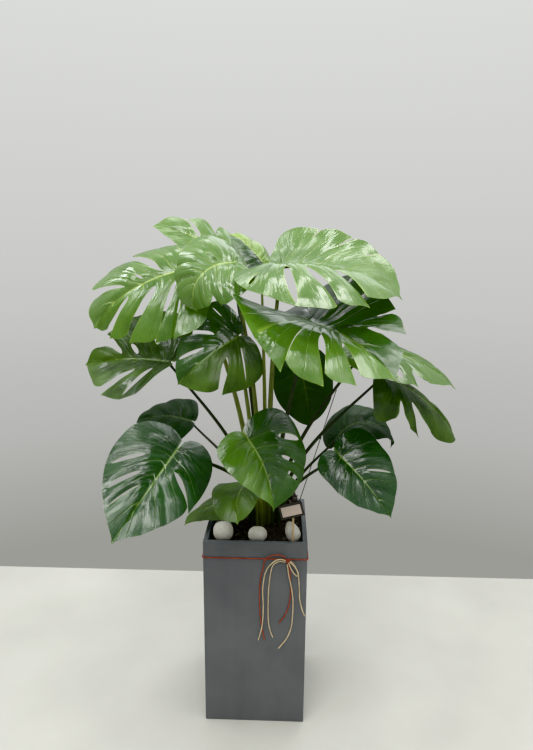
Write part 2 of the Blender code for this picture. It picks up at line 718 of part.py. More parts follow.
# Each leaf's pose and size. Angles are in degrees: heading from +X towards +Y, pitch above
# level at the attachment, roll right side down, droop, swing and twist from attachment to
# tip, fold at the midrib, and arch from the midrib to each side. Pairs are (left, right),
# seen from above with the tip ahead. An opening has its place on the margin (0 at the back,
# 1 at the tip), where it starts and ends on the way out, and its half width.
LEAVES = (
    dict(name="leaf_top_right", at=(0.062, -0.206, 1.377), heading=-11, pitch=8, roll=-2,
         length=0.312, width=(0.190, 0.233), back=0.086, droop=44, swing=-20, twist=16, fold=10,
         arch=(-30, 64), stalk=0.009, rows=4, foot=(0.014, -0.022), bow=(-0.01, 0.07),
         slits=((vein(0.30), slit(0.48, 0.70, 0.008, 0.012), hole(0.58, 0.60, 0.80, 0.006),
                 hole(0.70, 0.50, 0.70, 0.005)),
                (hole(0.30, 0.70, 0.93, 0.005), hole(0.465, 0.45, 0.93, 0.008),
                 slit(0.625, 0.27, 0.009, 0.003), slit(0.745, 0.33, 0.009, 0.004)))),
    dict(name="leaf_right_large", at=(0.138, -0.203, 1.243), heading=-42, pitch=-7, roll=3,
         length=0.272, width=(0.177, 0.254), back=0.129, droop=35, swing=-3, twist=31, fold=14,
         arch=(18, 24), stalk=0.009, rows=4, foot=(0.026, -0.034),
         slits=((vein(0.44), slit(0.58, 0.55, 0.003, 0.005), slit(0.68, 0.60, 0.003, 0.008),
                 slit(0.79, 0.55, 0.007, 0.011)),
                (hole(0.49, 0.50, 0.92, 0.0025), slit(0.59, 0.46, 0.004, 0.003),
                 slit(0.70, 0.37, 0.008, 0.004), slit(0.83, 0.32, 0.009, 0.009)))),
    dict(name="leaf_top_left", at=(-0.185, -0.026, 1.363), heading=187.5, pitch=-9, roll=-52,
         length=0.361, width=(0.199, 0.188), back=0.042, droop=50, swing=-15, twist=-20, fold=8,
         arch=(15, 82), stalk=0.0085, rows=4, foot=(-0.030, -0.008), bow=(0.0, 0.05),
         slits=((vein(0.40), slit(0.558, 0.40, 0.004, 0.006), slit(0.75, 0.22, 0.008, 0.008),
                 slit(0.865, 0.28, 0.006, 0.012)),
                (vein(0.44), slit(0.60, 0.28, 0.006, 0.011), hole(0.74, 0.14, 0.36, 0.005),
                 slit(0.845, 0.40, 0.007, 0.013)))),
    dict(name="leaf_top_middle", at=(-0.061, -0.159, 1.382), heading=202, pitch=4, roll=-28,
         length=0.192, width=(0.127, 0.139), back=0.057, droop=125, swing=-9, twist=-26, fold=12,
         arch=(41, 29), stalk=0.008, rows=4, foot=(-0.016, -0.022), bow=(0.01, 0.08),
         slits=((vein(0.40), slit(0.57, 0.28, 0.006, 0.010), slit(0.78, 0.32, 0.005, 0.010)),
                (vein(0.40), hole(0.60, 0.12, 0.40, 0.006), slit(0.76, 0.36, 0.006, 0.009)))),
    dict(name="leaf_top_back", at=(-0.097, 0.242, 1.377), heading=199.5, pitch=41, roll=-42,
         length=0.277, width=(0.107, 0.139), back=0.081, droop=44, twist=-1, fold=12,
         arch=(39, 33), stalk=0.008, foot=(-0.016, 0.034),
         slits=((slit(0.48, 0.45, 0.004, 0.005), slit(0.66, 0.35, 0.007, 0.012),
                 slit(0.83, 0.50, 0.006, 0.008)),
                (vein(0.45), slit(0.655, 0.16, 0.009, 0.016), slit(0.84, 0.50, 0.003, 0.005)))),
    dict(name="leaf_young", at=(0.006, 0.083, 1.380), heading=175, pitch=53, roll=-21,
         length=0.126, width=(0.101, 0.105), back=0.044, droop=27, swing=-3, twist=-6, fold=9,
         arch=(42, 33), stalk=0.007, foot=(0.002, 0.044),
         slits=((vein(0.42), slit(0.68, 0.60, 0.002, 0.004)),
                (vein(0.42), slit(0.68, 0.60, 0.002, 0.004)))),
    dict(name="leaf_left", at=(-0.267, 0.016, 1.088), heading=154, pitch=3, roll=-29,
         length=0.310, width=(0.177, 0.170), back=0.030, droop=13, swing=-16, twist=-24, fold=20,
         arch=(30, 8), stalk=0.0085, rows=4, foot=(-0.026, 0.036),
         slits=((vein(0.30), hole(0.445, 0.34, 0.75, 0.005), slit(0.635, 0.43, 0.011, 0.013),
                 vein(0.81)),
                (vein(0.42), hole(0.60, 0.36, 0.56, 0.004), hole(0.71, 0.17, 0.42, 0.007),
                 slit(0.84, 0.27, 0.008, 0.012)))),
    dict(name="leaf_centre_left", at=(-0.052, -0.105, 1.184), heading=196, pitch=-27, roll=-49,
         length=0.212, width=(0.138, 0.149), back=0.032, droop=37, swing=-3, twist=4, fold=9,
         arch=(39, 31), stalk=0.008, rows=4, foot=(-0.020, -0.036),
         slits=((hole(0.40, 0.30, 0.83, 0.003), slit(0.65, 0.32, 0.008, 0.010), vein(0.83)),
                (hole(0.39, 0.43, 0.80, 0.004), hole(0.61, 0.35, 0.92, 0.0045),
                 hole(0.80, 0.35, 0.91, 0.008)))),
    dict(name="leaf_low_left_large", at=(-0.195, -0.257, 0.915), heading=256, pitch=-14, roll=-32,
         length=0.296, width=(0.122, 0.140), back=0.063, droop=27, twist=6, fold=10,
         arch=(47, 38), stalk=0.0085, rows=4, foot=(-0.034, -0.022), spread=0.0,
         slits=((vein(0.44), slit(0.605, 0.27, 0.006, 0.006), vein(0.74), slit(0.86, 0.50, 0.003, 0.005)),
                (vein(0.42), hole(0.58, 0.50, 0.88, 0.007), hole(0.725, 0.40, 0.88, 0.0055),
                 hole(0.81, 0.33, 0.78, 0.004)))),
    dict(name="leaf_low_left_back", at=(-0.215, 0.080, 0.887), heading=162, pitch=12.5,
         roll=-25.5, length=0.222, width=(0.089, 0.095), back=0.022, droop=46, swing=-6, twist=-4,
         fold=10, arch=(39, 30), stalk=0.0075, foot=(-0.042, 0.024), spread=0.0,
         slits=((vein(0.45), slit(0.64, 0.45, 0.004, 0.006), slit(0.82, 0.50, 0.003, 0.005)),
                (vein(0.45), slit(0.64, 0.50, 0.003, 0.005), slit(0.82, 0.50, 0.003, 0.005)))),
    dict(name="leaf_low_centre", at=(-0.015, -0.241, 0.942), heading=-34, pitch=-41, roll=14.5,
         length=0.190, width=(0.149, 0.111), back=0.038, droop=27, swing=25, twist=-11, fold=17,
         arch=(23, 37), stalk=0.008, rows=4, foot=(0.002, -0.028),
         slits=((hole(0.50, 0.50, 0.88, 0.006), hole(0.67, 0.50, 0.82, 0.006), vein(0.83)),
                (vein(0.50), vein(0.67), vein(0.83)))),
    dict(name="leaf_over_rim", at=(0.008, -0.161, 0.778), heading=229, pitch=37, roll=26,
         length=0.193, width=(0.091, 0.096), back=0.043, droop=105, swing=-11.5, twist=-2, fold=13,
         arch=(41, 16), stalk=0.0075, foot=(-0.006, -0.042),
         slits=((vein(0.50), slit(0.75, 0.55, 0.003, 0.005)),
                (slit(0.50, 0.55, 0.003, 0.005), slit(0.75, 0.55, 0.003, 0.005)))),
    dict(name="leaf_low_right", at=(0.231, -0.135, 0.862), heading=-29.5, pitch=-34, roll=22,
         length=0.212, width=(0.137, 0.092), back=0.034, droop=22, swing=3, twist=-2, fold=13,
         arch=(24, 36), stalk=0.0075, rows=4, foot=(0.042, -0.020),
         slits=((vein(0.50), hole(0.695, 0.28, 0.90, 0.0045), vein(0.85)),
                (vein(0.50), hole(0.69, 0.45, 0.90, 0.003), hole(0.86, 0.40, 0.92, 0.003)))),
    dict(name="leaf_low_right_back", at=(0.252, 0.117, 0.831), heading=0, pitch=60, roll=12,
         length=0.242, width=(0.119, 0.106), back=0.057, droop=145, swing=4, twist=10, fold=13,
         arch=(21, 40), stalk=0.0075, foot=(0.050, 0.000),
         slits=((vein(0.45), slit(0.63, 0.50, 0.003, 0.005), slit(0.82, 0.50, 0.005, 0.008)),
                (vein(0.45), slit(0.63, 0.50, 0.003, 0.005), slit(0.82, 0.50, 0.003, 0.005)))),
    dict(name="leaf_right_hanging", at=(0.364, -0.003, 1.060), heading=11, pitch=-23, roll=30,
         length=0.338, width=(0.099, 0.152), back=0.037, droop=35, swing=3, twist=-1, fold=6,
         arch=(44, 43), stalk=0.0085, foot=(0.040, 0.014),
         slits=((slit(0.45, 0.50, 0.003, 0.004), slit(0.60, 0.45, 0.004, 0.006),
                 slit(0.77, 0.50, 0.004, 0.006)),
                (slit(0.44, 0.16, 0.006, 0.010), slit(0.57, 0.14, 0.006, 0.010),
                 slit(0.72, 0.35, 0.005, 0.010)))),
    dict(name="leaf_far_right", at=(0.313, -0.021, 1.153), heading=-6, pitch=-9, roll=18,
         length=0.280, width=(0.100, 0.126), back=0.073, droop=34, swing=3, twist=-7, fold=7,
         arch=(36, 46), stalk=0.0085, foot=(0.036, 0.030),
         slits=((vein(0.45), slit(0.62, 0.50, 0.003, 0.004), slit(0.80, 0.50, 0.003, 0.005)),
                (slit(0.54, 0.42, 0.005, 0.006), slit(0.67, 0.45, 0.004, 0.009),
                 slit(0.80, 0.50, 0.004, 0.008)))),
    dict(name="leaf_centre_back", at=(0.126, 0.120, 1.054), heading=-28, pitch=-70, roll=39,
         length=0.198, width=(0.104, 0.104), back=0.053, droop=35, swing=3, twist=6, fold=13,
         arch=(28, 33), stalk=0.0075, foot=(0.020, 0.044),
         slits=((vein(0.50), slit(0.75, 0.55, 0.003, 0.005)),
                (slit(0.50, 0.55, 0.003, 0.004), slit(0.75, 0.55, 0.003, 0.005)))),
    dict(name="leaf_small_left", at=(-0.065, -0.020, 0.669), heading=191, pitch=0, roll=0,
         length=0.173, width=(0.080, 0.082), back=0.043, droop=48, swing=-2.5, twist=-1.5, fold=9,
         arch=(41, 39), stalk=0.007, foot=(-0.046, -0.012),
         slits=((vein(0.50), slit(0.75, 0.60, 0.002, 0.004)),
                (vein(0.50), slit(0.75, 0.60, 0.002, 0.004)))),
)


def main():
    clear_scene()
    make_planter()
    soil = make_soil()
    white = material("pebble_white", (0.58, 0.56, 0.48), 0.6)
    for pebble in PEBBLES:
        make_pebble(*pebble, white)
    green = material("leaf_green", (0.045, 0.140, 0.030), 0.32)
    feet = [make_leaf(spec, green) for spec in LEAVES]
    feet += make_stumps(material("stem_green", (0.060, 0.090, 0.030), 0.6))
    feet += [make_sign(), make_rod()]
    cut_holes(soil, feet)
    red = material("red_cord", (0.36, 0.085, 0.045), 0.8)
    pale = material("pale_cord", (0.66, 0.53, 0.34), 0.8)
    make_tie(red)
    make_tails(red, pale)


main()
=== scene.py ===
"""Potted monstera in a tall square planter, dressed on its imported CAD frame, in metres.

The front of the planter faces -Y and its base is centred on the origin.
"""
import math
from collections import namedtuple

import bmesh
import bpy
import numpy as np
from mathutils import Matrix, Vector


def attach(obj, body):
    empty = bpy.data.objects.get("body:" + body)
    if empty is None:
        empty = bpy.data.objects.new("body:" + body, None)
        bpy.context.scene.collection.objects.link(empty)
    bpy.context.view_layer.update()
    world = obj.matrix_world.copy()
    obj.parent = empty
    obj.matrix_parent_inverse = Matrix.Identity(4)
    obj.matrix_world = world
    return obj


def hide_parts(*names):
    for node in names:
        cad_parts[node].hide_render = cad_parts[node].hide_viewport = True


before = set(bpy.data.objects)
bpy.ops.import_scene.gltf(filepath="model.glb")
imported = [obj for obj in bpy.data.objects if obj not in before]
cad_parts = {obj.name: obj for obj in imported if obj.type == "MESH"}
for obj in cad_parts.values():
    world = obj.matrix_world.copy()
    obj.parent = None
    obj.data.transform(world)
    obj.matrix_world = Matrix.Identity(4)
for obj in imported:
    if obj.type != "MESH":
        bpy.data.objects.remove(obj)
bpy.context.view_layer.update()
bpy.ops.object.select_all(action="DESELECT")

# Camera: at the photograph's place, 1.41 m above the floor and 1.62 m in front of the
# planter's middle, looking down 12 degrees through a 27 mm lens.
EYE = Vector((0.0716, -1.6212, 1.4143))
YAW, PITCH, ROLL = -0.0291, 0.2169, -0.0082
FOCAL_PIXELS, LONG_SIDE_PIXELS, SENSOR = 565.96, 750.0, 36.0

ahead = Vector((math.sin(YAW) * math.cos(PITCH), math.cos(YAW) * math.cos(PITCH), -math.sin(PITCH)))
level = Vector((math.cos(YAW), -math.sin(YAW), 0.0))
down = ahead.cross(level)
across = math.cos(ROLL) * level + math.sin(ROLL) * down
down = -math.sin(ROLL) * level + math.cos(ROLL) * down
lens = bpy.data.cameras.new("camera")
lens.sensor_width = SENSOR
lens.lens = FOCAL_PIXELS / LONG_SIDE_PIXELS * SENSOR
lens.clip_start, lens.clip_end = 0.05, 50.0
camera = bpy.data.objects.new("camera", lens)
bpy.context.scene.collection.objects.link(camera)
camera.matrix_world = Matrix.Translation(EYE) @ Matrix((across, -down, -ahead)).transposed().to_4x4()
bpy.context.scene.camera = camera


# Free ends of the bow: six lengths of soft twisted craft cord, red and natural. They leave
# the knot, the left ones in an arch, and hang down the planter's front. After a tail's name,
# colour and rough length come its points: (x, z) from the knot, then how far off the front.
CORD, GAP = 0.0034, 0.0003
FRONT = 0.150
KNOT = Vector((0.094, -FRONT, 0.547))
TAILS = (
    ("tail_left_pale", "pale", 0.310, (
        (-0.0057, 0.0027, 0.0080), (-0.018, 0.008, 0.010), (-0.034, 0.004, 0.010),
        (-0.051, -0.012, 0.009), (-0.061, -0.030, 0.008), (-0.067, -0.052, 0.007),
        (-0.071, -0.095, 0.006), (-0.069, -0.150, 0.006), (-0.072, -0.210, 0.007),
        (-0.083, -0.260, 0.004))),
    ("tail_left_red", "red", 0.330, (
        (-0.006, 0.012, 0.006), (-0.023, 0.020, 0.007), (-0.043, 0.018, 0.007),
        (-0.060, 0.009, 0.007), (-0.068, -0.006, 0.006), (-0.069, -0.022, 0.003),
        (-0.074, -0.040, 0.0022), (-0.079, -0.074, 0.0022), (-0.080, -0.128, 0.0022),
        (-0.078, -0.177, 0.0022), (-0.073, -0.217, 0.0022), (-0.065, -0.260, 0.0022))),
    ("tail_inner_pale", "pale", 0.290, (
        (-0.007, -0.003, 0.006), (-0.019, 0.000, 0.0065), (-0.033, -0.005, 0.0055),
        (-0.044, -0.019, 0.004), (-0.050, -0.050, 0.003), (-0.054, -0.094, 0.0022),
        (-0.055, -0.150, 0.0022), (-0.054, -0.193, 0.0022), (-0.049, -0.226, 0.0022),
        (-0.040, -0.252, 0.0022))),
    ("tail_long_pale", "pale", 0.290, (
        (-0.001, -0.009, 0.008), (0.004, -0.044, 0.008), (0.012, -0.083, 0.007),
        (0.017, -0.125, 0.005), (0.017, -0.174, 0.003), (0.013, -0.218, 0.0022),
        (0.000, -0.255, 0.0022), (-0.023, -0.288, 0.0022))),
    ("tail_short_red", "red", 0.200, (
        (0.003, -0.009, 0.004), (0.008, -0.047, 0.0025), (0.010, -0.099, 0.0022),
        (0.006, -0.141, 0.0022), (-0.005, -0.175, 0.0022), (-0.022, -0.202, 0.0022))),
    ("tail_right_pale", "pale", 0.190, (
        (0.008, 0.002, 0.008), (0.018, -0.009, 0.008), (0.027, -0.028, 0.007),
        (0.032, -0.050, 0.005), (0.035, -0.092, 0.003), (0.037, -0.124, 0.0022),
        (0.044, -0.155, 0.0022), (0.052, -0.177, 0.0022))),
)
PLIES, CORD_SIDES = 3, 15
PLY_LEAST, PLY_SWELL, PLY_ROUND = 0.72, 0.28, 0.7
TWIST_LENGTH = 3.2 * CORD
RINGS_PER_TWIST = 12
CURVE_STEPS = 24


def node(tree, kind, inputs=(), **settings):
    """Add a shader node. An input given as a socket is linked, and one given as a value is set."""
    made = tree.nodes.new("ShaderNode" + kind)
    for name, value in settings.items():
        setattr(made, name, value)
    for key, value in dict(inputs).items():
        if isinstance(value, bpy.types.NodeSocket):
            tree.links.new(value, made.inputs[key])
        else:
            made.inputs[key].default_value = value
    return made


def finish(name, **sockets):
    """A new material, its tree and its Principled shader, with plain values on its sockets."""
    made = bpy.data.materials.new(name)
    made.use_nodes = True
    shader = made.node_tree.nodes["Principled BSDF"]
    for key, value in sockets.items():
        shader.inputs[key.replace("_", " ")].default_value = value
    return made, made.node_tree, shader


def mixed(tree, amount, first, second):
    """Colour going from first to second by an amount. Each of them is a socket or a plain colour."""
    first, second = (end if isinstance(end, bpy.types.NodeSocket) else (*end, 1) for end in (first, second))
    return node(tree, "Mix", {"Factor": amount, "A": first, "B": second}, data_type="RGBA").outputs["Result"]


def place_on(tree, stretch=None):
    """The place on the object, scaled along its axes if asked."""
    place = node(tree, "TexCoord").outputs["Object"]
    return place if stretch is None else node(tree, "Mapping", {"Vector": place, "Scale": stretch}).outputs[0]


def noise(tree, place, scale, detail, roughness=0.5):
    """Soft noise from 0 to 1."""
    inputs = {"Vector": place, "Scale": scale, "Detail": detail, "Roughness": roughness}
    return node(tree, "TexNoise", inputs).outputs["Fac"]


def ranged(tree, value, low, high, least=0.0, most=1.0, **settings):
    """How far a value lies from low to high, as a number from least to most."""
    inputs = {"Value": value, "From Min": low, "From Max": high, "To Min": least, "To Max": most}
    return node(tree, "MapRange", inputs, **settings).outputs[0]


def maths(tree, operation, *values):
    """The result of one sum."""
    return node(tree, "Math", dict(enumerate(values)), operation=operation).outputs[0]


def bumped(tree, height, strength, depth, under=None):
    """A normal raised by a height, on top of another normal if one is given."""
    inputs = {"Height": height, "Strength": strength, "Distance": depth}
    return node(tree, "Bump", inputs if under is None else {**inputs, "Normal": under}).outputs[0]


def dress(tree, shader, colour, normal=None):
    """Link a shader's colour, and its normal if one is given."""
    tree.links.new(colour, shader.inputs["Base Color"])
    if normal is not None:
        tree.links.new(normal, shader.inputs["Normal"])


def distances(path):
    """How far along a path each of its points is."""
    return np.r_[0, np.cumsum(np.linalg.norm(np.diff(path, axis=0), axis=1))]


def smooth_through(points, count):
    """A smooth curve through the points, read at even steps along its length."""
    points = np.asarray(points, float)
    ends = np.vstack([2 * points[0] - points[1], points, 2 * points[-1] - points[-2]])
    t = np.linspace(0, 1, CURVE_STEPS, endpoint=False)[:, None]
    dense = []
    for index in range(1, len(ends) - 2):
        a, b, c, d = ends[index - 1:index + 3]
        dense.append(0.5 * (2 * b + (c - a) * t + (2 * a - 5 * b + 4 * c - d) * t ** 2
                            + (3 * b - a - 3 * c + d) * t ** 3))
    dense = np.vstack(dense + [points[-1:]])
    far = distances(dense)
    even = np.linspace(0, far[-1], count)
    return np.stack([np.interp(even, far, line) for line in dense.T], -1)


def tube(path, radii, sides, first_side=(1, 0, 0), closed=False):
    """Points, faces and (round, along) corner places of a tube along a path."""
    path = np.asarray(path, float)
    count = len(path)
    before, after = np.roll(path, 1, axis=0), np.roll(path, -1, axis=0)
    if not closed:
        before[0], after[-1] = path[0], path[-1]
    along = after - before
    along /= np.linalg.norm(along, axis=1)[:, None]
    far = distances(path)
    turn = 2 * np.pi * np.arange(sides)[:, None] / sides
    side = np.asarray(first_side, float)
    points = []
    for index in range(count):
        side = side - along[index] * (side @ along[index])
        side /= np.linalg.norm(side)
        up = np.cross(along[index], side)
        points.append(path[index] + radii[index] * (np.cos(turn) * side + np.sin(turn) * up))
    faces, corners = [], []
    for ring in range(count if closed else count - 1):
        here, there = ring * sides, (ring + 1) % count * sides
        low, high = far[ring], far[min(ring + 1, count - 1)]
        for part in range(sides):
            step = (part + 1) % sides
            faces.append((here + part, here + step, there + step, there + part))
            start, end = part / sides, (part + 1) / sides
            corners.append(((start, low), (end, low), (end, high), (start, high)))
    if not closed:
        faces += [tuple(reversed(range(sides))), tuple(range((count - 1) * sides, count * sides))]
        corners += [((0, far[0]),) * sides, ((0, far[-1]),) * sides]
    return np.vstack(points), faces, corners


def joined(parts):
    """Several pairs of points and faces as one pair."""
    faces, start = [], 0
    for part_points, part_faces in parts:
        faces += [tuple(corner + start for corner in face) for face in part_faces]
        start += len(part_points)
    return np.vstack([part_points for part_points, _ in parts]), faces


def twisted_cord(path, side=(0, 1, 0), closed=False):
    """A cord whose three plies show as a lobed section that twists along the path."""
    path = np.asarray(path, float)
    far = distances(np.vstack([path, path[:1]]) if closed else path)
    twists = far[-1] / TWIST_LENGTH
    if closed:
        twists = round(twists)
    turn = 2 * np.pi * twists * far[:len(path), None] / far[-1]
    crowns = abs(np.cos(PLIES / 2 * (2 * np.pi * np.arange(CORD_SIDES) / CORD_SIDES - turn)))
    radii = CORD / 2 * (PLY_LEAST + PLY_SWELL * crowns ** PLY_ROUND)[..., None]
    return tube(path, radii, CORD_SIDES, side, closed)[:2]


def shown(name, mesh, finishes, smooth_angle=180.0):
    """An object at the origin for a mesh, in its finishes, smooth but for edges sharper than an angle."""
    mesh.shade_smooth()
    if smooth_angle < 180:
        mesh.set_sharp_from_angle(angle=math.radians(smooth_angle))
    for coat in finishes:
        mesh.materials.append(coat)
    made = bpy.data.objects.new(name, mesh)
    bpy.context.scene.collection.objects.link(made)
    return made


def piece(name, points, faces, finishes, smooth_angle=180.0):
    """A finished piece from points and faces, its normals turned outwards."""
    mesh = bpy.data.meshes.new(name)
    mesh.from_pydata([tuple(point) for point in np.asarray(points, float)], [], faces)
    shape = bmesh.new()
    shape.from_mesh(mesh)
    bmesh.ops.recalc_face_normals(shape, faces=shape.faces)
    shape.to_mesh(mesh)
    shape.free()
    return shown(name, mesh, finishes, smooth_angle)


def cord_finish(name, colour, dark):
    """Matt cotton: fibres in fine noise, paler and darker along the cord."""
    made, tree, shader = finish(name, Roughness=0.85, Sheen_Weight=0.25)
    place = place_on(tree)
    fibres, wear = noise(tree, place, 900.0, 3.0), noise(tree, place, 45.0, 2.0)
    amount = ranged(tree, maths(tree, "MULTIPLY", fibres, wear), 0.12, 0.40)
    dress(tree, shader, mixed(tree, amount, dark, colour), bumped(tree, fibres, 0.6, 0.0003))
    return made


cord_finishes = {
    "red": cord_finish("red_cord", (0.42, 0.085, 0.040), (0.20, 0.030, 0.016)),
    "pale": cord_finish("pale_cord", (0.74, 0.60, 0.38), (0.44, 0.34, 0.20)),
}
for name, colour, length, route in TAILS:
    route = [(KNOT.x + x, KNOT.y - off, KNOT.z + z) for x, z, off in route]
    rings = int(length / TWIST_LENGTH * RINGS_PER_TWIST)
    path = smooth_through(route, rings)
    tail = piece(name + "_cord", *twisted_cord(path), [cord_finishes[colour]])
    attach(tail, "root")
    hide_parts(name)


# Tie: the red cord that goes once round the planter below its rim, with the bow's knot on
# the front and the small loop of natural cord that is left beside it.
TIE_HEIGHT, TIE_CORNER, CORNER_STEPS = 0.551, 0.0025, 6
TIE_OFF = FRONT + GAP + CORD / 2
TIE_TURN = TIE_CORNER + GAP + CORD / 2
KNOT_SCALE, KNOT_DEPTH, KNOT_OFF = 0.00165, 1.15, 0.0062
KNOT_RINGS, LOOP_RINGS = 130, 90
SMALL_LOOP = ((0.004, 0.000, 0.0075), (0.011, -0.004, 0.0105), (0.020, -0.013, 0.0125),
              (0.029, -0.028, 0.0125), (0.031, -0.038, 0.0115), (0.027, -0.043, 0.0105),
              (0.019, -0.036, 0.0100), (0.011, -0.024, 0.0095), (0.005, -0.010, 0.0080),
              (0.002, -0.002, 0.0075))

corner_path = []
for corner, (to_x, to_y) in enumerate(((1, -1), (1, 1), (-1, 1), (-1, -1))):
    for part in range(CORNER_STEPS + 1):
        angle = math.pi / 2 * (corner + part / CORNER_STEPS) - math.pi / 2
        corner_path.append(((TIE_OFF - TIE_TURN) * to_x + TIE_TURN * math.cos(angle),
                            (TIE_OFF - TIE_TURN) * to_y + TIE_TURN * math.sin(angle), TIE_HEIGHT))
corner_path = np.array(corner_path + corner_path[:1])
far = distances(corner_path)
even = np.linspace(0, far[-1], int(far[-1] / TWIST_LENGTH * RINGS_PER_TWIST), endpoint=False)
band_path = np.stack([np.interp(even, far, line) for line in corner_path.T], -1)
turn = np.linspace(0, 2 * np.pi, KNOT_RINGS)
knot_path = np.stack([np.sin(turn) + 2 * np.sin(2 * turn), -KNOT_DEPTH * np.sin(3 * turn),
                      np.cos(turn) - 2 * np.cos(2 * turn)], -1) * KNOT_SCALE
knot_path += np.array((KNOT.x, KNOT.y - KNOT_OFF, KNOT.z))
loop_path = smooth_through([(KNOT.x + x, KNOT.y - off, KNOT.z + z) for x, z, off in SMALL_LOOP], LOOP_RINGS)
band = twisted_cord(band_path, (0, 0, 1), closed=True)
knot, loop = twisted_cord(knot_path), twisted_cord(loop_path)
tie = piece("tie", *joined([band, knot, loop]), [cord_finishes["red"], cord_finishes["pale"]])
tie.data.polygons.foreach_set("material_index", [0] * (len(band[1]) + len(knot[1])) + [1] * len(loop[1]))
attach(tie, "root")
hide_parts("tie_cord")


# Planter: a straight square column of painted fibre cement with an open top, 14 mm walls
# and softly rounded edges. The paint is matt slate grey, a little uneven.
PLANTER_WIDTH, PLANTER_HEIGHT = 0.300, 0.600
PLANTER_WALL, PLANTER_FLOOR = 0.014, 0.018
PLANTER_EDGE, NEAR = 0.0025, 1e-6

bpy.ops.mesh.primitive_cube_add(size=1, location=(0, 0, PLANTER_HEIGHT / 2))
planter = bpy.context.object
planter.name = "planter_shell"
planter.scale = (PLANTER_WIDTH, PLANTER_WIDTH, PLANTER_HEIGHT)
bpy.ops.object.transform_apply(location=True, rotation=True, scale=True)
bpy.ops.object.mode_set(mode="EDIT")
shape = bmesh.from_edit_mesh(planter.data)
bpy.ops.mesh.select_all(action="DESELECT")
for face in shape.faces:
    face.select = face.calc_center_median().z > PLANTER_HEIGHT - NEAR
bmesh.update_edit_mesh(planter.data)
bpy.ops.mesh.inset(thickness=PLANTER_WALL)
bpy.ops.mesh.extrude_region_move(TRANSFORM_OT_translate={"value": (0, 0, PLANTER_FLOOR - PLANTER_HEIGHT)})
bpy.ops.mesh.select_all(action="DESELECT")
shape = bmesh.from_edit_mesh(planter.data)
outside = PLANTER_WIDTH / 2 - NEAR
for edge in shape.edges:
    ends = [max(abs(vertex.co.x), abs(vertex.co.y)) for vertex in edge.verts]
    on_top = min(vertex.co.z for vertex in edge.verts) > PLANTER_HEIGHT - NEAR
    edge.select = min(ends) > outside or (on_top and max(ends) < outside)
bmesh.update_edit_mesh(planter.data)
bpy.ops.mesh.bevel(offset=PLANTER_EDGE, segments=4, profile=0.5)
bpy.ops.mesh.select_all(action="SELECT")
bpy.ops.mesh.normals_make_consistent(inside=False)
bpy.ops.object.mode_set(mode="OBJECT")
bpy.ops.object.shade_smooth_by_angle(angle=math.radians(35))

slate, tree, shader = finish("slate_paint", Roughness=0.5, Specular_IOR_Level=0.35)
place = place_on(tree)
cloud, speckle = noise(tree, place, 7.0, 4.0, 0.6), noise(tree, place, 520.0, 2.0)
drag = noise(tree, place_on(tree, (30.0, 30.0, 2.0)), 1.0, 3.0)
paint = mixed(tree, ranged(tree, cloud, 0.35, 0.65), (0.112, 0.119, 0.122), (0.130, 0.138, 0.141))
paint = mixed(tree, ranged(tree, drag, 0.4, 0.7, most=0.30), paint, (0.150, 0.157, 0.160))
paint = mixed(tree, ranged(tree, speckle, 0.62, 0.75, most=0.35), paint, (0.20, 0.205, 0.205))
dress(tree, shader, paint, bumped(tree, speckle, 0.25, 0.0004))
tree.links.new(ranged(tree, cloud, 0.0, 1.0, 0.46, 0.64), shader.inputs["Roughness"])
planter.data.materials.clear()
planter.data.materials.append(slate)
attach(planter, "root")
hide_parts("planter")


# Soil: dark potting mix a little below the rim, mounded round the stems, its surface loose
# with crumbs and with chips of bark, the largest at the back on the right.
SOIL_LEVEL, SOIL_CELLS = 0.580, 130
SOIL_HALF = PLANTER_WIDTH / 2 - PLANTER_WALL - GAP
MOUND_HEIGHT, MOUND_RADIUS, MOUND_CENTRE = 0.018, 0.085, (0.025, 0.020)
HEAP_HEIGHT, HEAP_RADIUS, HEAP_CENTRE, HEAP_EDGE = 0.047, 0.050, (0.112, 0.098), 0.020
HILL_FALL = 1.6
BACK_RISE, BACK_START, BACK_LENGTH = 0.006, 0.02, 0.10
FRONT_FLAT, FRONT_FADE = 0.070, 0.03
BUMPS = ((0.0022, 0.013, 1), (0.0016, 0.006, 2), (0.0009, 0.003, 3))
BUMP_FADE, BUMP_DROP = 0.006, 0.0008
LATTICE = 64
CHIPS, HEAP_CHIPS, CRUMBS = 210, 100, 420
CHIP_SIZES, CRUMB_SIZE = ((0.004, 0.012), (0.003, 0.007), (0.0015, 0.0035)), (0.0010, 0.0028)
CHIP_TILTS, CHIP_ROUGH, CHIP_LIFT = ((0.7, "X"), (0.6, "Y")), 0.25, 0.35
HEAP_CORNER, HEAP_MARGIN, MARGIN, HEAP_LOOSE = (0.040, 0.050), 0.013, 0.010, 0.007


def hill(x, y, centre, radius):
    """A smooth hill of height 1."""
    return np.exp(-(np.hypot(x - centre[0], y - centre[1]) / radius) ** 2 * HILL_FALL)


def soil_height(x, y):
    """The packed soil's height, without its crumbs."""
    mound = MOUND_HEIGHT * hill(x, y, MOUND_CENTRE, MOUND_RADIUS)
    mound = mound + BACK_RISE * np.clip((y + BACK_START) / BACK_LENGTH, 0, 1)
    heap = HEAP_HEIGHT * hill(x, y, HEAP_CENTRE, HEAP_RADIUS)
    inside = SOIL_HALF - np.maximum(abs(x), abs(y))
    return (SOIL_LEVEL + mound * np.clip((y + FRONT_FLAT) / FRONT_FADE, 0, 1)
            + heap * np.sqrt(np.clip(inside / HEAP_EDGE, 0, 1)))


def eased(share):
    """A share from 0 to 1, slow at both ends."""
    return share * share * (3 - 2 * share)


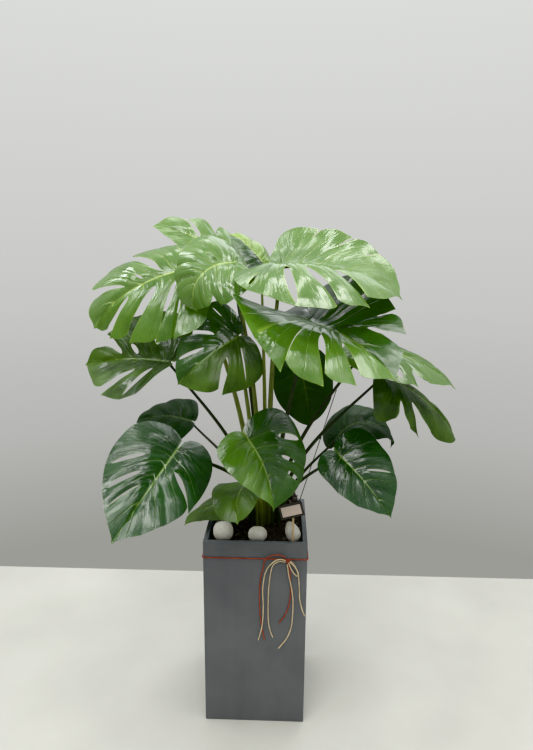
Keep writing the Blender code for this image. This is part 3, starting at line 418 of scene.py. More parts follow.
def value_noise(x, y, cell, seed):
    """Smooth noise from -1 to 1 on a square lattice."""
    lattice = np.random.default_rng(seed).uniform(-1, 1, (LATTICE, LATTICE))
    column, row = np.asarray(x) / cell, np.asarray(y) / cell
    i, j = np.floor(column).astype(int), np.floor(row).astype(int)
    u, v = eased(column - i), eased(row - j)
    i, j, next_i, next_j = i % LATTICE, j % LATTICE, (i + 1) % LATTICE, (j + 1) % LATTICE
    return ((lattice[i, j] * (1 - u) + lattice[next_i, j] * u) * (1 - v)
            + (lattice[i, next_j] * (1 - u) + lattice[next_i, next_j] * u) * v)


steps = np.linspace(-SOIL_HALF, SOIL_HALF, SOIL_CELLS + 1)
x, y = np.meshgrid(steps, steps)
rough = sum(height * value_noise(x, y, cell, seed) for height, cell, seed in BUMPS)
fade = np.clip((SOIL_HALF - np.maximum(abs(x), abs(y))) / BUMP_FADE, 0, 1)
top = np.stack([x, y, soil_height(x, y) + rough * fade - BUMP_DROP], -1).reshape(-1, 3)
grid = np.arange(len(top)).reshape(x.shape)
faces = np.stack([grid[:-1, :-1], grid[:-1, 1:], grid[1:, 1:], grid[1:, :-1]], -1).reshape(-1, 4).tolist()
rim = np.r_[grid[0], grid[1:, -1], grid[-1, -2::-1], grid[-2:0:-1, 0]].tolist()
bottom = top[rim].copy()
bottom[:, 2] = PLANTER_FLOOR + GAP
base = len(top)
for index in range(len(rim)):
    after = (index + 1) % len(rim)
    faces.append((rim[after], rim[index], base + index, base + after))
faces.append(tuple(reversed(range(base, base + len(rim)))))

draw = np.random.default_rng(11)
bpy.ops.mesh.primitive_ico_sphere_add(subdivisions=1, radius=1)
ball = bpy.context.object
ball_points = np.array([vertex.co[:] for vertex in ball.data.vertices])
ball_faces = [tuple(face.vertices) for face in ball.data.polygons]
bpy.data.objects.remove(ball, do_unlink=True)
loose = []
for number in range(CHIPS + CRUMBS):
    if number < HEAP_CHIPS:
        spot = np.array([draw.uniform(low, SOIL_HALF - HEAP_MARGIN) for low in HEAP_CORNER])
    else:
        spot = draw.uniform(-SOIL_HALF + MARGIN, SOIL_HALF - MARGIN, 2)
    if number < CHIPS:
        size = np.array([draw.uniform(*sizes) for sizes in CHIP_SIZES])
    else:
        size = np.full(3, draw.uniform(*CRUMB_SIZE))
    tilt = Matrix.Rotation(draw.uniform(0, 2 * math.pi), 3, "Z")
    for most, axis in CHIP_TILTS:
        tilt = tilt @ Matrix.Rotation(draw.uniform(-most, most), 3, axis)
    shaped = ball_points * (1 + draw.uniform(-CHIP_ROUGH, CHIP_ROUGH, (len(ball_points), 1))) * size
    heaped = draw.uniform(0, HEAP_LOOSE) if number < HEAP_CHIPS else 0
    lift = soil_height(*spot) + CHIP_LIFT * size[2] + heaped
    loose.append((shaped @ np.array(tilt).T + np.array((*spot, lift)), ball_faces))

mix, tree, shader = finish("potting_soil", Roughness=0.95)
place = place_on(tree)
lumps = noise(tree, place, 90.0, 5.0, 0.7)
flecks = node(tree, "TexVoronoi", {"Vector": place, "Scale": 260.0}, feature="F1").outputs["Distance"]
damp = mixed(tree, ranged(tree, lumps, 0.35, 0.65), (0.010, 0.009, 0.008), (0.046, 0.039, 0.034))
dress(tree, shader, damp, bumped(tree, lumps, 0.8, 0.003, bumped(tree, flecks, 0.7, 0.002)))
bark_finish, tree, shader = finish("bark_chips", Roughness=0.6)
place = place_on(tree)
waves = {"Vector": place, "Scale": 160.0, "Distortion": 8.0, "Detail": 2.0}
grain = node(tree, "TexWave", waves).outputs["Fac"]
age = ranged(tree, noise(tree, place, 55.0, 3.0), 0.35, 0.65)
bark = mixed(tree, age, (0.026, 0.023, 0.020), (0.150, 0.130, 0.108))
dress(tree, shader, mixed(tree, ranged(tree, grain, 0.0, 1.0, most=0.4), bark, (0.026, 0.022, 0.019)),
      bumped(tree, grain, 0.5, 0.0006))
soil = piece("soil_bed", *joined([(np.vstack([top, bottom]), faces), *loose]), [mix, bark_finish], 60)
soil.data.polygons.foreach_set("material_index", [0] * len(faces) + [1] * (CHIPS * len(ball_faces))
                               + [0] * (CRUMBS * len(ball_faces)))
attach(soil, "root")
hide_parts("soil")


# Pebbles: three smooth white garden stones that lie on the soil along the front. The left
# one is nearly round, the middle one has two humps, and the right one leans like a pear.
# Each has its spot, half sizes, turn, lean, the saddle in its top and its taper upwards.
PEBBLES = (
    ("pebble_left", (-0.096, -0.100), (0.0295, 0.027, 0.033), 0.3, 0.0, 0.00, 0.02),
    ("pebble_middle", (0.004, -0.102), (0.0280, 0.024, 0.024), 0.1, 0.0, 0.10, 0.00),
    ("pebble_right", (0.106, -0.096), (0.0205, 0.019, 0.033), 0.0, 0.35, 0.00, 0.22),
)
PEBBLE_FLAT = 0.85
SADDLE_AT, SADDLE_WIDTH = 0.05, 0.32

stone, tree, shader = finish("pebble_white", Roughness=0.62)
place = place_on(tree)
stain, pores = noise(tree, place, 38.0, 5.0, 0.65), noise(tree, place, 420.0, 3.0)
cream = mixed(tree, ranged(tree, stain, 0.36, 0.66), (0.76, 0.74, 0.66), (0.57, 0.55, 0.46))
cream = mixed(tree, ranged(tree, pores, 0.60, 0.72, most=0.45), cream, (0.30, 0.29, 0.24))
dress(tree, shader, cream, bumped(tree, pores, 0.35, 0.0006))
for name, spot, size, turned, lean, saddle, taper in PEBBLES:
    bpy.ops.mesh.primitive_ico_sphere_add(subdivisions=5, radius=1)
    pebble = bpy.context.object
    pebble.name = name + "_stone"
    x, y, z = np.array([vertex.co[:] for vertex in pebble.data.vertices]).T
    bulge = 1 + 0.05 * np.sin(2.1 * x + 1.3 * y + turned * 5) + 0.03 * np.cos(3 * y - z)
    bulge = bulge * (1 - taper * z)
    dimple = 1 - saddle * np.exp(-((x - SADDLE_AT) / SADDLE_WIDTH) ** 2) * np.clip(z, 0, 1)
    x, y, z = x * size[0] * bulge, y * size[1] * bulge, z * size[2] * dimple
    x, z = x * math.cos(lean) - z * math.sin(lean), x * math.sin(lean) + z * math.cos(lean)
    x, y = x * math.cos(turned) - y * math.sin(turned), x * math.sin(turned) + y * math.cos(turned)
    flat = -PEBBLE_FLAT * size[2]
    z = np.maximum(z, flat)
    lift = SOIL_LEVEL + GAP - flat
    pebble.data.vertices.foreach_set("co", np.stack([x + spot[0], y + spot[1], z + lift], -1).ravel())
    pebble.data.update()
    pebble.data.shade_smooth()
    pebble.data.materials.append(stone)
    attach(pebble, "root")
    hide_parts(name)


# Sign: a small plaque on a stick that stands in the soil. A dark frame of four bars and a
# back holds a plain bare card in its recess, and the pale split-bamboo stick is glued on.
SIGN_MIDDLE = Vector((0.102, -0.1335, 0.693))
SIGN_WIDTH, SIGN_DROP, SIGN_FRAME, SIGN_THICK = 0.069, 0.043, 0.006, 0.005
SIGN_TILT, CARD_FRONT = math.radians(15), 0.6
SIGN_EDGE, CARD_EDGE, STICK_EDGE, SHARP_EDGE = 0.0007, 0.0003, 0.0009, math.radians(40)
STICK, STICK_OFFSET, STICK_DEPTH = 0.0055, 0.006, 0.060

tilted = Matrix.Translation(SIGN_MIDDLE) @ Matrix.Rotation(-SIGN_TILT, 4, "Y")


def plank(name, low, high, soften, coat, turned=None):
    """A board with softened edges between two corners, turned and placed if asked."""
    bpy.ops.mesh.primitive_cube_add(size=1, location=(0, 0, 0))
    board = bpy.context.object
    board.name = name
    for vertex in board.data.vertices:
        vertex.co = Vector([low[axis] if vertex.co[axis] < 0 else high[axis] for axis in range(3)])
    bpy.ops.object.mode_set(mode="EDIT")
    bpy.ops.mesh.select_all(action="SELECT")
    bpy.ops.mesh.bevel(offset=soften, segments=3, profile=0.5)
    bpy.ops.object.mode_set(mode="OBJECT")
    if turned is not None:
        board.data.transform(turned)
    board.data.shade_smooth()
    board.data.set_sharp_from_angle(angle=SHARP_EDGE)
    board.data.materials.append(coat)
    return board


def fibrous(name, roughness, stretch, detail, dark, light, relief=0.0):
    """Wood or paper whose fibres are noise, long where the place is stretched."""
    made, tree, shader = finish(name, Roughness=roughness)
    fibres = noise(tree, place_on(tree, stretch), 1.0, detail)
    dress(tree, shader, mixed(tree, fibres, dark, light),
          bumped(tree, fibres, relief, 0.0003) if relief else None)
    return made


dark_wood = fibrous("dark_wood", 0.5, (60.0, 60.0, 420.0), 4.0,
                    (0.030, 0.028, 0.027), (0.070, 0.066, 0.062), relief=0.3)
card_paper = fibrous("bare_card", 0.8, (650.0, 650.0, 650.0), 3.0, (0.60, 0.49, 0.43), (0.72, 0.61, 0.54))
bamboo = fibrous("pale_wood", 0.6, (900.0, 900.0, 22.0), 3.0, (0.40, 0.28, 0.14), (0.62, 0.48, 0.29))

wide, high, thick = SIGN_WIDTH / 2, SIGN_DROP / 2, SIGN_THICK / 2
bars = (
    ((-wide, -thick, high - SIGN_FRAME), (wide, thick, high)),
    ((-wide, -thick, -high), (wide, thick, -high + SIGN_FRAME)),
    ((-wide, -thick, -high + SIGN_FRAME), (-wide + SIGN_FRAME, thick, high - SIGN_FRAME)),
    ((wide - SIGN_FRAME, -thick, -high + SIGN_FRAME), (wide, thick, high - SIGN_FRAME)),
    ((-wide + SIGN_FRAME, 0.0, -high + SIGN_FRAME), (wide - SIGN_FRAME, thick, high - SIGN_FRAME)),
)
boards = [plank("sign_bar_%d" % number, *corners, SIGN_EDGE, dark_wood, tilted)
          for number, corners in enumerate(bars)]
bpy.ops.object.select_all(action="DESELECT")
for board in boards:
    board.select_set(True)
bpy.context.view_layer.objects.active = boards[0]
bpy.ops.object.join()
sign = bpy.context.object
sign.name = "sign_border"
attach(sign, "root")
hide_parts("sign_frame")
reach, drop = wide - SIGN_FRAME - GAP, high - SIGN_FRAME - GAP
card = plank("sign_plain_card", (-reach, -CARD_FRONT * thick, -drop), (reach, -GAP, drop), CARD_EDGE,
             card_paper, tilted)
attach(card, "root")
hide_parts("sign_card")
stick_x, stick_y = SIGN_MIDDLE.x + STICK_OFFSET, SIGN_MIDDLE.y + thick + GAP + STICK / 2
stick = plank("sign_bamboo", (stick_x - STICK / 2, stick_y - STICK / 2, SOIL_LEVEL - STICK_DEPTH + GAP),
              (stick_x + STICK / 2, stick_y + STICK / 2, SIGN_MIDDLE.z), STICK_EDGE, bamboo)
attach(stick, "root")
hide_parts("sign_stick")


# Stems: short green stumps in the middle, ringed with old leaf scars, and a thin dark rod
# that leans out behind the right stalks, tied to them twice with soft wire. Each stump has
# its foot, radius, height above the soil and lean.
STUMPS = (
    ("stem_front", (0.008, 0.008), 0.011, 0.105, (-0.10, -0.02)),
    ("stem_back", (0.040, 0.006), 0.0105, 0.120, (0.12, 0.05)),
    ("stem_small", (0.022, 0.026), 0.009, 0.085, (0.02, 0.12)),
)
STALK_RISE, HOLE_DEPTH = 0.032, 0.060
STUMP_RINGS, STUMP_SIDES, STUMP_WAIST = 70, 20, 0.96
SCAR_SPACING, SCAR_SWELL, SCAR_POWER = 0.019, 0.05, 8
STUMP_PLACES, STUMP_SIZES = (0, 0.5, 0.85, 0.97, 1.0), (1.0, 1.0, 0.88, 0.62, 0.25)
ROD, ROD_RINGS, ROD_SIDES = 0.0024, 40, 12
ROD_POINTS = ((0.120, 0.045, 0.540), (0.120, 0.045, 0.600), (0.130, 0.047, 0.636),
              (0.184, 0.052, 0.820), (0.221, 0.055, 0.950), (0.236, 0.056, 1.002))
WIRE, WIRE_PLACES, WIRE_TURNS, WIRE_LENGTH = 0.0014, (0.34, 0.62), 3, 0.006
WIRE_OUT, WIRE_RINGS, WIRE_SIDES = 0.85 * ROD, 60, 6

stem_skin, tree, shader = finish("stem_green", Roughness=0.45)
mottle = noise(tree, place_on(tree), 70.0, 4.0)
streaks = noise(tree, place_on(tree, (260.0, 260.0, 14.0)), 1.0, 3.0)
skin = mixed(tree, ranged(tree, mottle, 0.38, 0.64), (0.045, 0.060, 0.018), (0.110, 0.135, 0.035))
skin = mixed(tree, ranged(tree, streaks, 0.45, 0.7, most=0.6), skin, (0.050, 0.036, 0.016))
dress(tree, shader, skin, bumped(tree, streaks, 0.3, 0.0005))
for name, (foot_x, foot_y), radius, height, lean in STUMPS:
    foot = SOIL_LEVEL - HOLE_DEPTH + GAP
    rise = np.linspace(0, HOLE_DEPTH + height, STUMP_RINGS)
    above = np.maximum(0, rise - HOLE_DEPTH - STALK_RISE)
    path = np.stack([foot_x + lean[0] * above, foot_y + lean[1] * above, foot + rise], -1)
    sizes = radius * np.interp(rise / (HOLE_DEPTH + height), STUMP_PLACES, STUMP_SIZES)
    scar = np.maximum(0, np.sin(2 * np.pi * (rise - HOLE_DEPTH) / SCAR_SPACING)) ** SCAR_POWER
    sizes = sizes * (STUMP_WAIST + SCAR_SWELL * scar * (rise > HOLE_DEPTH))
    stump = piece(name + "_stump", *tube(path, sizes, STUMP_SIDES)[:2], [stem_skin], 60)
    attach(stump, "root")
    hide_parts(name)

rod_paint, tree, shader = finish("rod_paint", Roughness=0.45)
scuffs = noise(tree, place_on(tree), 160.0, 3.0)
dress(tree, shader, mixed(tree, scuffs, (0.012, 0.014, 0.012), (0.034, 0.036, 0.030)))
rod_path = np.vstack([ROD_POINTS[0], smooth_through(ROD_POINTS[1:], ROD_RINGS)])
rod_parts = [tube(rod_path, [ROD / 2] * len(rod_path), ROD_SIDES)[:2]]
turn = np.linspace(0, 2 * WIRE_TURNS * np.pi, WIRE_RINGS)[:, None]
for share in WIRE_PLACES:
    middle = rod_path[int(share * len(rod_path))]
    lean = rod_path[int(share * len(rod_path)) + 1] - middle
    lean /= np.linalg.norm(lean)
    side = np.cross(lean, (0.0, 1.0, 0.0))
    side /= np.linalg.norm(side)
    coil = (middle + WIRE_OUT * (np.cos(turn) * side + np.sin(turn) * np.cross(side, lean))
            + lean * np.linspace(-WIRE_LENGTH / 2, WIRE_LENGTH / 2, WIRE_RINGS)[:, None])
    rod_parts.append(tube(coil, [WIRE / 2] * WIRE_RINGS, WIRE_SIDES)[:2])
rod = piece("rod_with_wire", *joined(rod_parts), [rod_paint], 60)
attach(rod, "root")
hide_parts("support_rod")


# Leaves: eighteen leathery blades, each with its midrib on its own long stalk from the
# crown. The blades are split and pierced between their side veins, glossy above and matt
# below, and the young ones at the top are paler. The lower leaves and the halves that lie
# under others get darker greens, partly their own older green and partly painted shade.
# Each is one piece of blade, rib and stalk.
BLADE_THICK = 0.0009
LOBE_COLUMNS, MARGIN_POINTS = 12, 321
ROWS, ROW_CROWDING = (6, 13, 5), 1.7
LOBE_SWELL, LOBE_SHARE, SHINGLE = 0.0060, 0.35, 0.005
GROOVE_DEPTH, GROOVE_WIDTH, QUILT = 0.0014, 0.13, 0.0024
RIM_WAVE, RIM_WAVES, CALM_TIP = 0.0034, 1.8, 6
CORNER_START, CORNER_POWER = 0.60, 2.5
CRINKLE, CRINKLE_CELL, CRINKLE_SEED = 0.0026, 0.045, 21
VEIN_START, VEIN_END, VEIN_SWEEP, VEIN_SPACING = 0.33, 0.90, 1.7, 0.115
VEIN_BEND, ROOT_SHARE, LEAST_ROOT = 0.22, 0.15, 0.03
SLIT_EASE, SLIT_ROUND, PLAIN_START, PLAIN_END, CURL_SHARE = 0.35, 0.7, 0.45, 0.86, 0.65
STALK_STEPS, STALK_SIDES, RIB_RINGS, RIB_SIDES = 36, 12, 36, 8
STALK_PLACES = (0.0, 0.04, 0.18, 0.60, 1.0)
STALK_SIZES = {"light": (1.22, 1.35, 1.95, 1.45, 0.85), "dark": (1.22, 1.28, 1.45, 1.15, 0.80)}
KNEE_SWELL, KNEE_AT, KNEE_WIDTH = 0.18, 0.975, 0.02
STALK_PULL, BLADE_PULL, FLATTER, USUAL_SPREAD = 0.40, 0.30, 0.75, 0.3
RIB_PLACES, RIB_SIZES = (-0.05, 0.0, 0.25, 0.93), (0.7, 0.92, 0.5, 0.10)
RIB_BACK, RIB_UNDER, RIB_LOWER, STALK_UNDER = 1.5, 0.95, 0.3, 0.9
CROWN = (0.022, 0.004)
HALF_OUTLINE = ((0.03, -0.66), (0.14, -0.90), (0.40, -1.0), (0.74, -0.72), (0.94, -0.15), (1.0, 0.18),
                (0.93, 0.42), (0.72, 0.64), (0.42, 0.83), (0.15, 0.945), (0.04, 0.99), (0.0, 1.03))
SHOULDER = (0.0, 0.3, 0.8, 1.0, 0.6, 0.2) + (0.0,) * 6
BLUNT = ((0.0, 0.0),) * 7 + ((0.06, 0.02), (0.16, 0.06), (0.14, 0.04), (0.04, 0.005), (0.0, 0.0))
Opening = namedtuple("Opening", "place start end half_gap mouth root before after")


class Leaf:
    """Places points of a flat blade, x to its right and y to its tip, in space."""

    def __init__(self, spec):
        self.spec = spec
        heading, pitch, roll = (math.radians(spec[key]) for key in ("heading", "pitch", "roll"))
        along = np.array((math.cos(heading) * math.cos(pitch), math.sin(heading) * math.cos(pitch),
                          math.sin(pitch)))
        level = np.array((math.sin(heading), -math.cos(heading), 0.0))
        top = np.cross(level, along)
        self.along = along
        self.right = math.cos(roll) * level - math.sin(roll) * top
        self.up = math.sin(roll) * level + math.cos(roll) * top
        droop = math.radians(spec["droop"]) / spec["length"]
        swing = math.radians(spec.get("swing", 0)) / spec["length"]
        self.curve = math.hypot(droop, swing) + 1e-6
        self.bend = (-droop * self.up + swing * self.right) / self.curve
        self.axis = np.cross(along, self.bend)
        self.at = np.array(spec["at"])

    def frame(self, y):
        """Midrib points, right and up directions at lengths from the attachment."""
        turn = self.curve * np.atleast_1d(y)[:, None]
        centre = (self.at + self.along * np.sin(turn) / self.curve
                  + self.bend * (1 - np.cos(turn)) / self.curve)

        def spun(v):
            return (v * np.cos(turn) + np.cross(self.axis, v) * np.sin(turn)
                    + self.axis * (self.axis @ v) * (1 - np.cos(turn)))

        right, up = spun(self.right), spun(self.up)
        twist = math.radians(self.spec.get("twist", 0)) * np.atleast_1d(y)[:, None] / self.spec["length"]
        cosine, sine = np.cos(twist), np.sin(twist)
        return centre, right * cosine - up * sine, right * sine + up * cosine

    def place(self, x, y, lift):
        """Blade points: rising from the midrib by the fold, then arching down."""
        centre, right, up = self.frame(y)
        side = np.where(x < 0, -1.0, 1.0)
        width, arch, curl = (np.where(x < 0, *self.spec.get(key, (0, 0)))
                             for key in ("width", "arch", "curl"))
        arch = np.radians(arch - curl * np.clip(1 - y / (CURL_SHARE * self.spec["length"]), 0, 1))
        rate = arch / width
        rate = np.where(abs(rate) < 1e-4, 1e-4, rate)
        fold = math.radians(self.spec["fold"])
        out = (math.sin(fold) - np.sin(fold - rate * abs(x))) / rate
        rise = (np.cos(fold - rate * abs(x)) - math.cos(fold)) / rate
        return centre + right * (side * out)[:, None] + up * (rise + lift)[:, None]


def slit(place, start, half_gap, mouth, root=None, before=0.02, after=-0.07):
    """A slit open at the margin. Root is where its vein leaves the midrib, as a part of the length, and
    before and after are how much further out than the margin the corners beside its mouth reach."""
    return Opening(place, start, 1.0, half_gap, mouth, root, before, after)


def hole(place, start, end, half_gap, root=None):
    """A hole from one part of the way to the margin to another."""
    return Opening(place, start, end, half_gap, 0.0, root, 0.0, 0.0)


def vein(place):
    """A place on the margin with no opening."""
    return hole(place, PLAIN_START, PLAIN_END, 0.0)


def veins(*places):
    """One half of a blade with no openings."""
    return [vein(place) for place in places]


END = hole(None, 0.40, PLAIN_END, 0.0)


def slit_width(opening, t):
    """Half width of a slit at parts t of the way from the midrib to the margin."""
    gap = opening.half_gap * (t > opening.start + 1e-9)
    x = np.clip((t - opening.start) / (opening.end - opening.start), 0, 1)
    if opening.end < 1:
        return gap * np.sqrt(np.maximum(0, 1 - (2 * x - 1) ** 2)) * (t < opening.end - 1e-9)
    wider = (opening.mouth - opening.half_gap) * eased(np.clip((x - SLIT_EASE) / (1 - SLIT_EASE), 0, 1))
    return np.where(x < SLIT_EASE, gap * np.sin(np.pi / 2 * np.minimum(x / SLIT_EASE, 1)) ** SLIT_ROUND,
                    opening.half_gap + wider)


def edge_rise(opening, t):
    """How much of the shingling a lobe's edge has, t of the way from the midrib to the margin."""
    if opening.half_gap == 0:
        return np.zeros_like(t)
    x = np.clip((t - opening.start) / (opening.end - opening.start), 0, 1)
    return eased(x) if opening.mouth > 0 else 2 * x * (1 - x)


def row_parts(first, last, x):
    """Parts of the way to the margin for the rows, close together at the slits' ends."""
    start = first.start * (1 - x) + last.start * x
    first_end, last_end = (PLAIN_END if opening.end == 1.0 else opening.end for opening in (first, last))
    end = first_end * (1 - x) + last_end * x
    inner = np.linspace(0, start, ROWS[0] + 1)[:-1]
    middle = start + (end - start) * (1 - np.cos(np.linspace(0, np.pi, ROWS[1] + 1))) / 2
    outer = end + (1 - end) * (1 - (1 - np.linspace(0, 1, ROWS[2] + 1)) ** ROW_CROWDING)
    return np.r_[inner, middle[:-1], outer]


def vein_roots(spec):
    """Where each column's vein leaves the midrib on the left and on the right, and their mean."""
    lobes = len(spec["slits"][0]) + 1
    column = np.arange(lobes * LOBE_COLUMNS + 1) / LOBE_COLUMNS

    def usual(place):
        forward = np.maximum(0, (place - VEIN_START) / (1 - VEIN_START)) ** VEIN_SWEEP
        return VEIN_END * np.where(VEIN_END * forward > LEAST_ROOT, forward, 0.0)

    both = []
    for slits in spec["slits"]:
        moved = [0 if opening.root is None else opening.root - float(usual(opening.place))
                 for opening in slits]
        place = np.interp(column, range(lobes + 1), [0.0, *(opening.place for opening in slits), 1.0])
        root = usual(place) + np.interp(column, range(lobes + 1), [0.0, *moved, 0.0])
        both.append(spec["length"] * root)
    return both, np.round((both[0] + both[1]) / 2, 7)


def half_margin(spec, right):
    """Half the blade's outline from the notch at its base to its tip."""
    shoulder, blunt, skew = spec.get("shape", ((0, 0, 0), (0, 0, 0)))[right]
    back = spec["back"][right] if isinstance(spec["back"], tuple) else spec["back"]
    outline = []
    for (x, y), push, (wider, longer) in zip(HALF_OUTLINE, SHOULDER, BLUNT):
        x, y = x * (1 + push * shoulder) + wider * blunt, y + longer * blunt
        x, y = x * spec["width"][right], y * (back if y < 0 else spec["length"])
        outline.append((x, y + skew * x * (1 - y / spec["length"])))
    return smooth_through(outline, MARGIN_POINTS)


def half_blade(spec, side, known, points, faces, corners):
    """Add one half of a blade: flat places with their lift, faces, and vein places at the corners."""
    right = side > 0
    slits = [END, *spec["slits"][right], END]
    lobes = len(slits) - 1
    total = lobes * LOBE_COLUMNS
    places = [0.0, *(opening.place for opening in slits[1:-1]), 1.0]
    lobe_veins = [max(1, round((there - here) / VEIN_SPACING)) for here, there in zip(places, places[1:])]
    margin = half_margin(spec, right)
    own_roots, shared_roots = vein_roots(spec)

    def vein_curve(place, index, t):
        steps = (len(margin) - 1) * min(max(place, 0.0), 1.0)
        low = min(int(steps), len(margin) - 2)
        end = margin[low] * (low + 1 - steps) + margin[low + 1] * (steps - low)
        root = shared_roots[index]
        root = root + (own_roots[right][index] - root) * np.clip(t / ROOT_SHARE, 0, 1)
        bend = root + VEIN_BEND * (end[1] - root)
        return np.stack([t * end[0], (1 - t) ** 2 * root + 2 * t * (1 - t) * bend + t * t * end[1]], -1)

    for lobe in range(lobes):
        first, last = slits[lobe], slits[lobe + 1]
        block = []
        for column in range(LOBE_COLUMNS + 1):
            index, x = lobe * LOBE_COLUMNS + column, column / LOBE_COLUMNS
            place = places[lobe] * (1 - x) + places[lobe + 1] * x
            order = sum(lobe_veins[:lobe]) + lobe_veins[lobe] * x
            t = row_parts(first, last, x)
            gap_first, gap_last = slit_width(first, t), slit_width(last, t)
            corner = last.before if x > 0.5 else first.after
            pushed = np.clip((t - CORNER_START) / (1 - CORNER_START), 0, 1) ** 2
            reach = t * (1 + corner * abs(1 - 2 * x) ** CORNER_POWER * pushed)
            flat = vein_curve(place, index, reach)
            if index < total:
                beside = vein_curve(place + 0.01, index + 1, reach) - flat
                beside /= np.maximum(np.linalg.norm(beside, axis=1), 1e-9)[:, None]
                flat += beside * (gap_first * (1 - x) ** 2 - gap_last * x * x)[:, None]
            flat[:, 0] = 0.0 if index == total else np.maximum(flat[:, 0], 0.0)
            from_vein = order % 1.0 - 0.5
            outwards = np.clip(t * 4, 0, 1)
            lift = LOBE_SWELL * math.sin(math.pi * x) * np.clip(t / LOBE_SHARE, 0, 1) * (1 - LOBE_SHARE * t)
            lift -= GROOVE_DEPTH * math.exp(-(from_vein / GROOVE_WIDTH) ** 2) * outwards * np.sqrt(1 - t)
            lift += QUILT * (0.5 - 0.5 * math.cos(2 * math.pi * from_vein)) * outwards * (1 - t)
            edges = edge_rise(first, t) * (1 - x) ** 2 - edge_rise(last, t) * x * x
            lift += spec.get("shingle", SHINGLE) * edges
            crinkle = value_noise(flat[:, 0] * side + 0.3, flat[:, 1] + 0.5, CRINKLE_CELL, CRINKLE_SEED)
            lift += CRINKLE * crinkle * outwards
            wave = math.sin(2 * math.pi * RIM_WAVES * place + 2 * side + 5 * spec["length"])
            lift += RIM_WAVE * t ** 3 * wave * min(1.0, CALM_TIP * (1 - place))
            line = []
            for row in range(len(t)):
                key = (side, lobe, column, row)
                if row == 0:
                    key = ("root", float(shared_roots[index]))
                elif index == total:
                    key = ("tip", row)
                elif column == 0 and gap_first[row] == 0:
                    key = (side, lobe, row)
                elif column == LOBE_COLUMNS and gap_last[row] == 0:
                    key = (side, lobe + 1, row)
                if key not in known:
                    known[key] = len(points)
                    points.append((side * flat[row, 0], flat[row, 1], lift[row]))
                where = (order, t[row], side * flat[row, 0], flat[row, 1] / spec["length"])
                line.append((known[key], where))
            block.append(line)
        for here, there in zip(block, block[1:]):
            for row in range(len(here) - 1):
                ring = {}
                for point, where in (here[row], there[row], there[row + 1], here[row + 1]):
                    ring.setdefault(point, where)
                if len(ring) > 2:
                    faces.append(tuple(ring)[::-side])
                    corners.append(list(ring.values())[::-side])


def stalk_route(spec, leaf, radius):
    """From the bottom of its hole, straight up out of the soil, then arching to the blade."""
    x, y = CROWN[0] + spec["foot"][0], CROWN[1] + spec["foot"][1]
    start = np.array((x, y, SOIL_LEVEL + STALK_RISE))
    end = leaf.at - leaf.up * radius * STALK_UNDER
    span = np.linalg.norm(end - start)
    out = (end - start) / span
    bow = np.array((*spec.get("bow", (0.0, 0.0)), 0.0))
    spread = spec.get("spread", USUAL_SPREAD)
    upright = np.array((0, 0, 1)) * (1 - spread) + out * spread
    upright /= np.linalg.norm(upright)
    level = out * (1, 1, FLATTER)
    level /= np.linalg.norm(level)
    first = start + upright * span * STALK_PULL + bow
    second = end - level * span * BLADE_PULL + bow
    t = np.linspace(0, 1, STALK_STEPS + 1)[:, None]
    arc = (1 - t) ** 3 * start + 3 * t * (1 - t) ** 2 * first + 3 * t * t * (1 - t) * second + t ** 3 * end
    return np.vstack([(x, y, SOIL_LEVEL - HOLE_DEPTH + GAP), arc])


